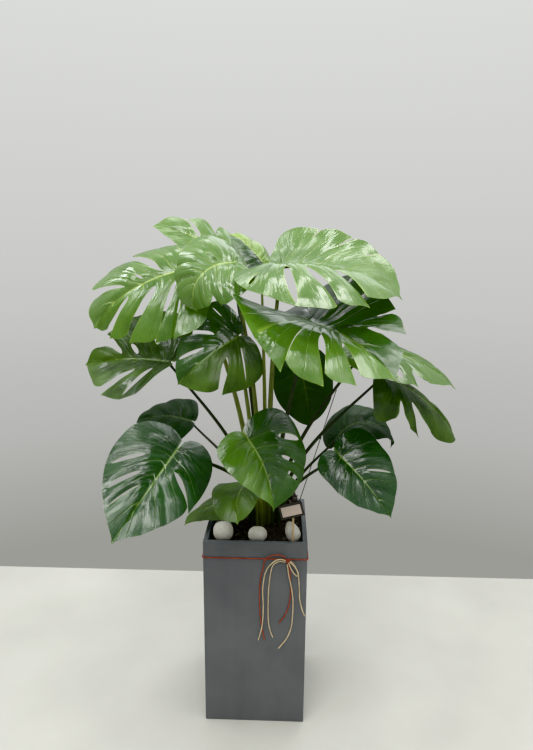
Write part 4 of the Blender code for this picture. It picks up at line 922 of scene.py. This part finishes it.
def make_leaf(spec, finishes):
    """One leaf's piece. Its finishes are left above and below, right above and below, stalk."""
    leaf = Leaf(spec)
    points, faces, corners, known = [], [], [], {}
    half_blade(spec, -1, known, points, faces, corners)
    left = len(faces)
    half_blade(spec, 1, known, points, faces, corners)
    right = len(faces) - left
    sheet = leaf.place(*np.array(points).T)
    count = len(sheet)
    normals = np.zeros_like(sheet)
    sides, where_of = set(), {}
    for face, where in zip(faces, corners):
        a, b, c = sheet[[face[0], face[1], face[-1]]]
        normals[list(face)] += np.cross(b - a, c - a)
        sides.update(zip(face, face[1:] + face[:1]))
        where_of.update(zip(face, where))
    normals *= BLADE_THICK / 2 / np.maximum(np.linalg.norm(normals, axis=1), 1e-12)[:, None]
    rim = [(a, b) for a, b in sides if (b, a) not in sides]
    faces += [tuple(point + count for point in face[::-1]) for face in faces]
    faces += [(b, a, a + count, b + count) for a, b in rim]
    corners += [where[::-1] for where in corners]
    corners += [[where_of[b], where_of[a], where_of[a], where_of[b]] for a, b in rim]
    index = [0] * left + [2] * right + [1] * left + [3] * right + [0] * len(rim)

    radius = spec["stalk"] / 2
    rib_y = np.linspace(-RIB_BACK * radius, RIB_PLACES[-1] * spec["length"], RIB_RINGS)
    centre, _, up = leaf.frame(rib_y)
    rib = radius * np.interp(rib_y / spec["length"], RIB_PLACES, RIB_SIZES)
    rib_path = centre - up * (rib * RIB_UNDER + np.where(rib_y < 0, RIB_LOWER * radius, 0.0))[:, None]
    share = np.r_[0, np.linspace(0, 1, STALK_STEPS + 1)]
    girth = radius * (np.interp(share, STALK_PLACES, STALK_SIZES[spec["tone"][2]])
                      + KNEE_SWELL * np.exp(-((share - KNEE_AT) / KNEE_WIDTH) ** 2))
    tubes = (tube(rib_path, rib, RIB_SIDES, leaf.right),
             tube(stalk_route(spec, leaf, radius), girth, STALK_SIDES, leaf.right))
    for _, ring_faces, ring_corners in tubes:
        corners += [[(u, v, 0.0, v) for u, v in where] for where in ring_corners]
        index += [4] * len(ring_faces)
    skins = np.vstack([sheet + normals, sheet - normals])
    points, faces = joined([(skins, faces), *(made[:2] for made in tubes)])

    mesh = bpy.data.meshes.new(spec["name"] + "_blade")
    mesh.from_pydata([tuple(point) for point in points], [], faces)
    maps = np.array([place for where in corners for place in where])
    for name, columns in (("veins", (0, 1)), ("flat", (2, 3))):
        mesh.uv_layers.new(name=name).data.foreach_set("uv", maps[:, columns].ravel())
    edge = np.zeros(len(points))
    edge[np.ravel(rim)] = edge[np.ravel(rim) + count] = 1.0
    mesh.attributes.new("edge", "FLOAT", "POINT").data.foreach_set("value", edge)
    mesh.polygons.foreach_set("material_index", index)
    made = shown(spec["name"] + "_blade", mesh, finishes, 60)
    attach(made, "root")
    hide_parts(spec["name"])


def map_place(tree, name):
    """The coordinates of a place in one of a leaf's two maps."""
    return node(tree, "SeparateXYZ", {0: node(tree, "UVMap", uv_map=name).outputs[0]}).outputs


def vein_pattern():
    """Masks of the midrib, side veins and fine net, streaks that run along the veins, and mottle that grows
    brighter towards the tip, partly the leaf's own tone and partly painted light through the tip.
    """
    group = bpy.data.node_groups.new("leaf_veins", "ShaderNodeTree")
    for name in ("Midrib", "Veins", "Net", "Streaks", "Mottle_and_tip_glow"):
        group.interface.new_socket(name, in_out="OUTPUT", socket_type="NodeSocketFloat")
    out = group.nodes.new("NodeGroupOutput")
    place = place_on(group)
    wobble = noise(group, place, 22.0, 2.0)
    order, reach = map_place(group, "veins")[:2]
    across, along = map_place(group, "flat")[:2]
    part = maths(group, "FRACT", maths(group, "MULTIPLY_ADD", wobble, 0.10, order))
    away = maths(group, "ABSOLUTE", maths(group, "SUBTRACT", part, 0.55))
    thickness = maths(group, "DIVIDE", 0.020, maths(group, "ADD", reach, 0.16))
    lines = ranged(group, away, 0.0, thickness, 1.0, 0.0, interpolation_type="SMOOTHSTEP")
    fade = ranged(group, reach, 0.55, 1.0, 1.0, 0.15)
    taper = ranged(group, along, 0.0, 1.0, 0.0056, 0.0016)
    midrib = ranged(group, maths(group, "ABSOLUTE", across), 0.0, taper, 1.0, 0.0,
                    interpolation_type="SMOOTHSTEP")
    cells = node(group, "TexVoronoi", {"Vector": place, "Scale": 130.0}, feature="DISTANCE_TO_EDGE")
    net = ranged(group, cells.outputs["Distance"], 0.0, 0.10, 1.0, 0.0)
    lanes = node(group, "CombineXYZ", {0: maths(group, "MULTIPLY", order, 6.0),
                                       1: maths(group, "MULTIPLY", reach, 2.2), 2: wobble}).outputs[0]
    # Brighter towards the tip: partly the leaf's own paler tip, partly painted light shining through the thin
    # tip.
    tip_tone_and_painted_glow = maths(group, "MULTIPLY_ADD", along, 0.34, -0.14)
    for name, value in (("Midrib", midrib), ("Veins", maths(group, "MULTIPLY", lines, fade)), ("Net", net),
                        ("Streaks", noise(group, lanes, 1.0, 3.0, 0.55)),
                        ("Mottle_and_tip_glow", maths(group, "ADD", noise(group, place, 14.0, 3.0), tip_tone_and_painted_glow))):
        group.links.new(value, out.inputs[name])
    return group


LEAF_VEINS = vein_pattern()


def blade_finish(name, deep, bright, rib, glow, above, dull=0.0):
    """Leaf skin: two greens in soft patches, the bright one gaining towards the tip partly as painted light
    through the tip, paler veins and rim, waxy above, light coming through.
    """
    made, tree, shader = finish(name, Specular_IOR_Level=0.95 - 4 * dull if above else 0.45)
    masks = node(tree, "Group", node_tree=LEAF_VEINS).outputs
    edge = node(tree, "Attribute", attribute_name="edge", attribute_type="GEOMETRY").outputs["Fac"]
    # The bright green gains towards the tip, partly the leaf's own tone and partly painted light through the
    # tip.
    skin = mixed(tree, ranged(tree, masks["Mottle_and_tip_glow"], 0.36, 0.66), deep, bright)
    skin = mixed(tree, ranged(tree, masks["Streaks"], 0.35, 0.75, most=0.45), skin, bright)
    for amount in (maths(tree, "MULTIPLY", masks["Net"], 0.16),
                   maths(tree, "MULTIPLY", masks["Veins"], 0.55),
                   masks["Midrib"], ranged(tree, edge, 0.65, 1.0, most=0.75)):
        skin = mixed(tree, amount, skin, rib)
    raised = maths(tree, "MULTIPLY_ADD", masks["Veins"], -1.4 if above else 1.6, masks["Streaks"])
    dress(tree, shader, skin, bumped(tree, masks["Net"], 0.10, 0.0004, bumped(tree, raised, 0.7, 0.0018)))
    least, most = (0.11 + dull, 0.25 + dull) if above else (0.42, 0.55)
    tree.links.new(ranged(tree, masks["Mottle_and_tip_glow"], 0.35, 0.65, least, most), shader.inputs["Roughness"])
    through = node(tree, "BsdfTranslucent", {"Color": (*glow, 1)})
    both = node(tree, "MixShader", {0: 0.28, 1: shader.outputs[0], 2: through.outputs[0]})
    tree.links.new(both.outputs[0], tree.nodes["Material Output"].inputs["Surface"])
    return made


def stalk_finish(name, deep, bright):
    """Smooth stalk skin, flecked and streaked along its length, with painted shade that darkens it near the
    soil.
    """
    made, tree, shader = finish(name, Roughness=0.38)
    lanes = node(tree, "Mapping", {"Vector": node(tree, "UVMap", uv_map="veins").outputs[0],
                                   "Scale": (9.0, 22.0, 1.0)}).outputs[0]
    streaks, flecks = noise(tree, lanes, 1.0, 3.0), noise(tree, place_on(tree), 240.0, 2.0)
    skin = mixed(tree, ranged(tree, streaks, 0.35, 0.68), deep, bright)
    skin = mixed(tree, ranged(tree, flecks, 0.60, 0.72, most=0.5), skin, bright)
    # Painted shade: over its lowest part, near the soil, the stalk's colour is mixed towards a dark green.
    low = ranged(tree, map_place(tree, "veins")[1], 0.03, 0.30, 0.8, 0.0)
    dress(tree, shader, mixed(tree, low, skin, (0.016, 0.026, 0.009)), bumped(tree, streaks, 0.25, 0.0006))
    return made


# Deep and bright green above, the same below, the veins, and the light that comes through
# The dark, deep, olive and shade tones are partly the older leaves' own deeper green and partly painted
# shade, for leaves and halves that lie in shadow under others. The shade tone is mostly painted shade.
GREENS = {
    "light": ((0.075, 0.150, 0.036), (0.125, 0.215, 0.062), (0.030, 0.075, 0.014), (0.050, 0.105, 0.020),
              (0.40, 0.50, 0.16), (0.50, 0.85, 0.12)),
    "mid": ((0.044, 0.105, 0.016), (0.105, 0.200, 0.036), (0.018, 0.050, 0.010), (0.032, 0.075, 0.012),
            (0.34, 0.46, 0.11), (0.42, 0.80, 0.08)),
    "dark": ((0.010, 0.034, 0.009), (0.038, 0.100, 0.016), (0.008, 0.022, 0.007), (0.016, 0.038, 0.010),
             (0.17, 0.26, 0.07), (0.22, 0.50, 0.05)),
    # deep: its slight blue is a painted reflection of the sky on the dark lower leaves.
    "deep": ((0.007, 0.026, 0.010), (0.022, 0.066, 0.020), (0.008, 0.022, 0.007), (0.016, 0.038, 0.010),
             (0.20, 0.30, 0.09), (0.20, 0.46, 0.06)),
    "shade": ((0.007, 0.022, 0.008), (0.020, 0.050, 0.012), (0.009, 0.022, 0.008), (0.018, 0.038, 0.011),
              (0.10, 0.16, 0.045), (0.16, 0.36, 0.04)),
    "olive": ((0.012, 0.027, 0.007), (0.072, 0.135, 0.020), (0.010, 0.024, 0.007), (0.024, 0.048, 0.010),
              (0.22, 0.32, 0.09), (0.24, 0.50, 0.05)),
    "young": ((0.130, 0.220, 0.045), (0.230, 0.330, 0.080), (0.090, 0.170, 0.030), (0.140, 0.230, 0.040),
              (0.40, 0.50, 0.15), (0.60, 0.90, 0.15)),
}
DULL = {"shade": 0.16, "olive": 0.11}
STALKS = {"dark": ((0.010, 0.016, 0.006), (0.028, 0.042, 0.012)),
          "light": ((0.110, 0.140, 0.034), (0.250, 0.300, 0.090))}
leaf_finishes = {}
for tone, (deep, bright, deep_under, bright_under, rib, glow) in GREENS.items():
    leaf_finishes[tone] = (
        blade_finish("leaf_above_" + tone, deep, bright, rib, glow, True, DULL.get(tone, 0)),
        blade_finish("leaf_below_" + tone, deep_under, bright_under, rib, glow, False))
stalk_finishes = {tone: stalk_finish("stalk_" + tone, *skin) for tone, skin in STALKS.items()}

# Each leaf's pose and size. Angles are in degrees: heading from +X towards +Y, pitch above
# level at the attachment, roll right side down, droop, swing and twist from attachment to
# tip, fold at the midrib, and arch from the midrib to each side, less the curl towards the
# stalk. Pairs are (left, right), seen from above with the tip ahead. Shape is how full a
# half's shoulder is, how blunt its tip and how skewed its base. Foot is where the stalk
# stands from the crown's middle, bow how far it bends aside, and spread how soon it leans
# out. Tone is the left half's, the right half's and the stalk's. Shingle is how far a lobe's
# edges rise and fall at its slits. Slits go from base to tip.
# The dark, deep, olive and shade tones on a half that lies in shadow partly paint that shade into its colour.
LEAVES = (
    dict(name="leaf_top_right", at=(0.062, -0.206, 1.377), heading=-11, pitch=8, roll=-2,
         length=0.312, width=(0.185, 0.225), back=(0.040, 0.086), droop=44, swing=-20, twist=16, fold=10,
         arch=(-38, 64), shape=((0.22, 0.80, 0.0), (0.0, 0.05, 0.0)), stalk=0.009, foot=(0.014, -0.022),
         bow=(-0.01, 0.07), tone=("light", "light", "light"),
         slits=((vein(0.30), slit(0.475, 0.82, 0.003, 0.006), slit(0.62, 0.76, 0.004, 0.008),
                 slit(0.745, 0.80, 0.004, 0.008)),
                (hole(0.30, 0.66, 0.92, 0.008), hole(0.475, 0.40, 0.965, 0.009, root=0.05),
                 slit(0.625, 0.38, 0.009, 0.0015, root=0.13, before=-0.05),
                 slit(0.745, 0.38, 0.0095, 0.0015, root=0.33)))),
    dict(name="leaf_right_large", at=(0.138, -0.203, 1.243), heading=-42, pitch=-7, roll=3,
         length=0.272, width=(0.177, 0.254), back=(0.180, 0.100), droop=35, swing=-3, twist=31, fold=14,
         arch=(18, 24), curl=(48, 22), shape=((0.40, 0.0, 0.0), (0.05, 0.0, 0.0)), stalk=0.009,
         foot=(0.026, -0.034), tone=("dark", "mid", "dark"),
         slits=((vein(0.40), slit(0.58, 0.60, 0.003, 0.005), slit(0.72, 0.68, 0.004, 0.010, after=-0.10),
                 slit(0.845, 0.60, 0.010, 0.020, root=0.24, after=-0.28)),
                (hole(0.497, 0.45, 0.93, 0.0014, root=0.04), slit(0.60, 0.42, 0.0016, 0.001, root=0.11),
                 slit(0.744, 0.40, 0.0085, 0.0015, root=0.18),
                 slit(0.863, 0.40, 0.009, 0.007, root=0.34)))),
    dict(name="leaf_top_left", at=(-0.185, -0.026, 1.363), heading=187.5, pitch=-9, roll=-52,
         length=0.361, width=(0.199, 0.188), back=0.042, droop=50, swing=-15, twist=-20, fold=8,
         arch=(15, 82), shape=((0.0, 0.2, 0.0), (0.0, 0.5, 0.0)), stalk=0.0085, foot=(-0.030, -0.008),
         bow=(0.0, 0.05), tone=("mid", "light", "light"), shingle=-0.009,
         slits=((vein(0.36), slit(0.46, 0.36, 0.004, 0.006), slit(0.562, 0.16, 0.011, 0.005, root=0.11),
                 slit(0.747, 0.19, 0.020, 0.020, root=0.26), slit(0.89, 0.22, 0.013, 0.020, root=0.50)),
                (vein(0.36), vein(0.48), slit(0.63, 0.08, 0.011, 0.006, before=-0.25, after=-0.24),
                 hole(0.73, 0.12, 0.30, 0.004), slit(0.850, 0.22, 0.007, 0.013, root=0.50, before=-0.10)))),
    dict(name="leaf_top_middle", at=(-0.061, -0.159, 1.382), heading=202, pitch=4, roll=-28,
         length=0.192, width=(0.127, 0.139), back=0.057, droop=125, swing=-9, twist=-26, fold=12,
         arch=(41, 29), stalk=0.008, foot=(-0.016, -0.022), bow=(0.01, 0.08),
         tone=("light", "light", "light"),
         slits=((vein(0.40), vein(0.56), slit(0.67, 0.78, 0.005, 0.013), vein(0.83)),
                (vein(0.40), hole(0.59, 0.10, 0.42, 0.0065), slit(0.70, 0.40, 0.0012, 0.003),
                 slit(0.80, 0.14, 0.003, 0.007)))),
    dict(name="leaf_top_back", at=(-0.097, 0.242, 1.377), heading=199.5, pitch=41, roll=-42,
         length=0.277, width=(0.107, 0.139), back=0.081, droop=44, twist=-1, fold=12,
         arch=(39, 33), shape=((0.0, 0.0, 0.0), (-0.15, 0.0, 0.0)), stalk=0.008,
         foot=(-0.016, 0.034), tone=("mid", "light", "dark"), shingle=0.008,
         slits=((slit(0.48, 0.45, 0.004, 0.005), slit(0.66, 0.35, 0.007, 0.012), vein(0.83)),
                (vein(0.40), slit(0.60, 0.52, 0.009, 0.016, before=-0.28),
                 slit(0.775, 0.14, 0.012, 0.020, after=-0.16)))),
    dict(name="leaf_young", at=(0.006, 0.083, 1.380), heading=175, pitch=53, roll=-21,
         length=0.126, width=(0.101, 0.078), back=0.044, droop=27, swing=-3, twist=-6, fold=9,
         arch=(42, 33), stalk=0.007, foot=(0.002, 0.044), tone=("dark", "young", "light"),
         slits=(veins(0.42, 0.68),) * 2),
    dict(name="leaf_left", at=(-0.267, 0.016, 1.088), heading=154, pitch=3, roll=-29,
         length=0.310, width=(0.177, 0.170), back=0.030, droop=13, swing=-16, twist=-24, fold=20,
         arch=(30, 8), stalk=0.0085, foot=(-0.026, 0.036), tone=("olive", "olive", "dark"),
         slits=((vein(0.30), hole(0.431, 0.28, 0.92, 0.007), slit(0.655, 0.42, 0.012, 0.012, root=0.14),
                 vein(0.81)),
                (hole(0.594, 0.35, 0.61, 0.0045, root=0.11), hole(0.66, 0.50, 0.74, 0.0035),
                 hole(0.735, 0.16, 0.48, 0.008, root=0.36), slit(0.822, 0.22, 0.010, 0.024, after=-0.30)))),
    dict(name="leaf_centre_left", at=(-0.052, -0.105, 1.184), heading=196, pitch=-27, roll=-49,
         length=0.212, width=(0.138, 0.149), back=0.032, droop=37, swing=-3, twist=4, fold=9,
         arch=(39, 31), stalk=0.008, foot=(-0.020, -0.036), tone=("olive", "dark", "light"),
         slits=((hole(0.472, 0.26, 0.88, 0.0024, root=0), slit(0.656, 0.34, 0.010, 0.004, root=0.16),
                 vein(0.83)),
                (hole(0.39, 0.42, 0.85, 0.0024), slit(0.655, 0.34, 0.006, 0.011, root=0.12, after=-0.12),
                 hole(0.841, 0.46, 0.95, 0.009, root=0.25)))),
    dict(name="leaf_low_left_large", at=(-0.195, -0.257, 0.915), heading=256, pitch=-14, roll=-32,
         length=0.296, width=(0.122, 0.140), back=0.063, droop=27, twist=6, fold=10,
         arch=(47, 38), stalk=0.0085, foot=(-0.034, -0.022), spread=0.0, tone=("deep", "deep", "dark"),
         slits=((vein(0.44), slit(0.585, 0.24, 0.009, 0.0035, root=0.22), vein(0.74), vein(0.86)),
                (vein(0.42), hole(0.606, 0.46, 0.92, 0.0095, root=0.12),
                 hole(0.747, 0.45, 0.94, 0.0085, root=0.27), hole(0.838, 0.42, 0.94, 0.0045, root=0.41)))),
    dict(name="leaf_low_left_back", at=(-0.215, 0.080, 0.887), heading=162, pitch=12.5,
         roll=-25.5, length=0.222, width=(0.089, 0.095), back=0.022, droop=46, swing=-6, twist=-4,
         fold=10, arch=(39, 30), shape=((0.0, 0.0, 0.0), (0.05, 0.3, 0.38)), stalk=0.0075,
         foot=(-0.042, 0.024), spread=0.0, tone=("shade", "shade", "dark"),
         slits=(veins(0.45, 0.64, 0.82),) * 2),
    dict(name="leaf_low_centre", at=(-0.015, -0.241, 0.942), heading=-34, pitch=-41, roll=14.5,
         length=0.190, width=(0.149, 0.111), back=0.038, droop=27, swing=25, twist=-11, fold=17,
         arch=(23, 37), stalk=0.008, foot=(0.002, -0.028), tone=("dark", "mid", "light"),
         slits=((hole(0.50, 0.52, 0.93, 0.009), hole(0.66, 0.50, 0.78, 0.006),
                 hole(0.75, 0.66, 0.93, 0.007)),
                veins(0.50, 0.67, 0.83))),
    dict(name="leaf_over_rim", at=(0.008, -0.161, 0.778), heading=229, pitch=37, roll=26,
         length=0.193, width=(0.091, 0.096), back=0.043, droop=105, swing=-11.5, twist=-2, fold=13,
         arch=(41, 16), shape=((0.0, 0.8, 0.0), (0.0, 0.7, 0.0)), stalk=0.0075, foot=(-0.006, -0.042),
         tone=("olive", "olive", "light"),
         slits=(veins(0.50, 0.75),) * 2),
    dict(name="leaf_low_right", at=(0.231, -0.135, 0.862), heading=-29.5, pitch=-34, roll=22,
         length=0.212, width=(0.137, 0.092), back=0.034, droop=22, swing=3, twist=-2, fold=13,
         arch=(24, 36), stalk=0.0075, foot=(0.042, -0.020), tone=("deep", "deep", "dark"),
         slits=((vein(0.50), hole(0.695, 0.28, 0.90, 0.0045), vein(0.85)),
                veins(0.50, 0.69, 0.86))),
    dict(name="leaf_low_right_back", at=(0.252, 0.117, 0.831), heading=0, pitch=60, roll=12,
         length=0.242, width=(0.119, 0.106), back=0.057, droop=145, swing=4, twist=10, fold=13,
         arch=(21, 40), stalk=0.0075, foot=(0.050, 0.000), tone=("shade", "shade", "dark"),
         slits=(veins(0.45, 0.63, 0.82),) * 2),
    dict(name="leaf_right_hanging", at=(0.364, -0.003, 1.060), heading=11, pitch=-23, roll=30,
         length=0.338, width=(0.088, 0.152), back=0.037, droop=35, swing=3, twist=-1, fold=6,
         arch=(75, 43), shape=((0.0, 0.0, 0.0), (0.28, 0.5, 0.0)), stalk=0.0085, foot=(0.040, 0.014),
         tone=("olive", "olive", "dark"),
         slits=((vein(0.45), slit(0.60, 0.55, 0.003, 0.005), slit(0.77, 0.55, 0.003, 0.005)),
                (slit(0.45, 0.46, 0.008, 0.024, root=0.13, before=-0.20, after=-0.04),
                 slit(0.62, 0.40, 0.012, 0.028, root=0.21, after=-0.10), vein(0.83)))),
    dict(name="leaf_far_right", at=(0.313, -0.021, 1.153), heading=-6, pitch=-9, roll=18,
         length=0.280, width=(0.082, 0.126), back=0.073, droop=34, swing=3, twist=-7, fold=7,
         arch=(36, 46), stalk=0.0085, foot=(0.036, 0.030), tone=("mid", "light", "dark"),
         slits=(veins(0.45, 0.62, 0.80),
                (hole(0.585, 0.60, 0.88, 0.007), slit(0.69, 0.66, 0.006, 0.010, after=-0.12), vein(0.84)))),
    dict(name="leaf_centre_back", at=(0.126, 0.120, 1.054), heading=-28, pitch=-70, roll=39,
         length=0.198, width=(0.104, 0.104), back=0.053, droop=35, swing=3, twist=6, fold=13,
         arch=(28, 33), stalk=0.0075, foot=(0.020, 0.044), tone=("shade", "shade", "light"),
         slits=(veins(0.50, 0.75),) * 2),
    dict(name="leaf_small_left", at=(-0.065, -0.020, 0.669), heading=191, pitch=0, roll=0,
         length=0.173, width=(0.080, 0.082), back=0.043, droop=48, swing=-2.5, twist=-1.5, fold=9,
         arch=(41, 39), stalk=0.007, foot=(-0.046, -0.012), tone=("olive", "olive", "dark"),
         slits=(veins(0.50, 0.75),) * 2),
)
for spec in LEAVES:
    left, right, stalk = spec["tone"]
    make_leaf(spec, [*leaf_finishes[left], *leaf_finishes[right], stalk_finishes[stalk]])


# Stage: a plain pale floor in an even, light surround that is brightest overhead, with long
# lights above and broad panels round about, which draw the highlights on the leaves.
FLOOR_WIDTH, FLOOR_FRONT, FLOOR_BACK = 6.0, -5.0, 0.67
AIM = Vector((0.0, 0.0, 0.95))
WARM, COOL = (1.0, 0.99, 0.97), (0.96, 0.98, 1.0)
LIGHTS = (
    ("strip_front", (-0.20, -1.10, 2.70), (1.7, 0.22), 15.0, WARM),
    ("strip_middle", (0.15, -0.10, 3.00), (1.9, 0.22), 14.0, WARM),
    ("strip_back", (-0.50, 0.78, 2.80), (0.8, 0.30), 4.0, WARM),
    ("strip_right", (2.20, -0.70, 2.80), (0.9, 0.12), 2.4, WARM),
    ("strip_near_left", (-2.35, -0.95, 2.85), (0.9, 0.11), 11.0, COOL),
    ("strip_far_left", (-1.95, 0.35, 2.70), (0.8, 0.13), 13.0, COOL),
    ("strip_near_right", (1.15, -0.72, 2.80), (1.0, 0.26), 9.0, WARM),
    ("strip_far_right", (1.05, -0.05, 2.80), (0.9, 0.24), 7.0, WARM),
    ("panel_front", (-0.50, -1.90, 2.60), (2.2, 0.40), 26.0, WARM),
    ("panel_back", (0.80, 2.30, 2.90), (2.4, 1.0), 14.0, COOL),
)
BACKDROP = ((-0.46, (0.37, 0.37, 0.345)), (-0.30, (0.50, 0.50, 0.485)), (-0.10, (0.60, 0.60, 0.585)),
            (0.38, (0.76, 0.77, 0.755)))
LIGHTING = ((-0.40, (0.26, 0.26, 0.25)), (0.0, (0.42, 0.42, 0.42)), (0.35, (0.75, 0.77, 0.79)),
            (0.8, (1.0, 1.02, 1.05)))

bpy.ops.mesh.primitive_plane_add(size=1, location=(0, 0, 0))
floor = bpy.context.object
floor.name = "floor"
for vertex in floor.data.vertices:
    vertex.co = (FLOOR_WIDTH * vertex.co.x, FLOOR_BACK if vertex.co.y > 0 else FLOOR_FRONT, 0.0)
pale_floor, tree, shader = finish("pale_floor", Roughness=0.55)
cloud = noise(tree, place_on(tree), 3.0, 5.0)
dress(tree, shader, mixed(tree, cloud, (0.42, 0.415, 0.37), (0.56, 0.555, 0.50)))
floor.data.materials.append(pale_floor)
for name, spot, size, power, colour in LIGHTS:
    lamp = bpy.data.lights.new(name, "AREA")
    lamp.shape, lamp.size, lamp.size_y = "RECTANGLE", *size
    lamp.energy, lamp.color = power, colour
    holder = bpy.data.objects.new(name, lamp)
    holder.location = spot
    holder.rotation_euler = (AIM - Vector(spot)).to_track_quat("-Z", "Y").to_euler()
    bpy.context.scene.collection.objects.link(holder)


def ramp(tree, height, stops):
    """Colours by the height of a direction, from stops of (height, colour)."""
    low, high = stops[0][0], stops[-1][0]
    made = node(tree, "ValToRGB", {"Fac": ranged(tree, height, low, high)})
    marks = made.color_ramp.elements
    for place, _ in stops[1:-1]:
        marks.new((place - low) / (high - low))
    for mark, (_, colour) in zip(marks, stops):
        mark.color = (*colour, 1)
    return made.outputs["Color"]


world = bpy.data.worlds.new("surround")
world.use_nodes = True
bpy.context.scene.world = world
tree = world.node_tree
height = node(tree, "SeparateXYZ", {0: node(tree, "TexCoord").outputs["Generated"]}).outputs[2]
for_camera = node(tree, "LightPath").outputs["Is Camera Ray"]
tree.links.new(mixed(tree, for_camera, ramp(tree, height, LIGHTING), ramp(tree, height, BACKDROP)),
               tree.nodes["Background"].inputs["Color"])
bpy.context.scene.view_settings.view_transform = "Khronos PBR Neutral"
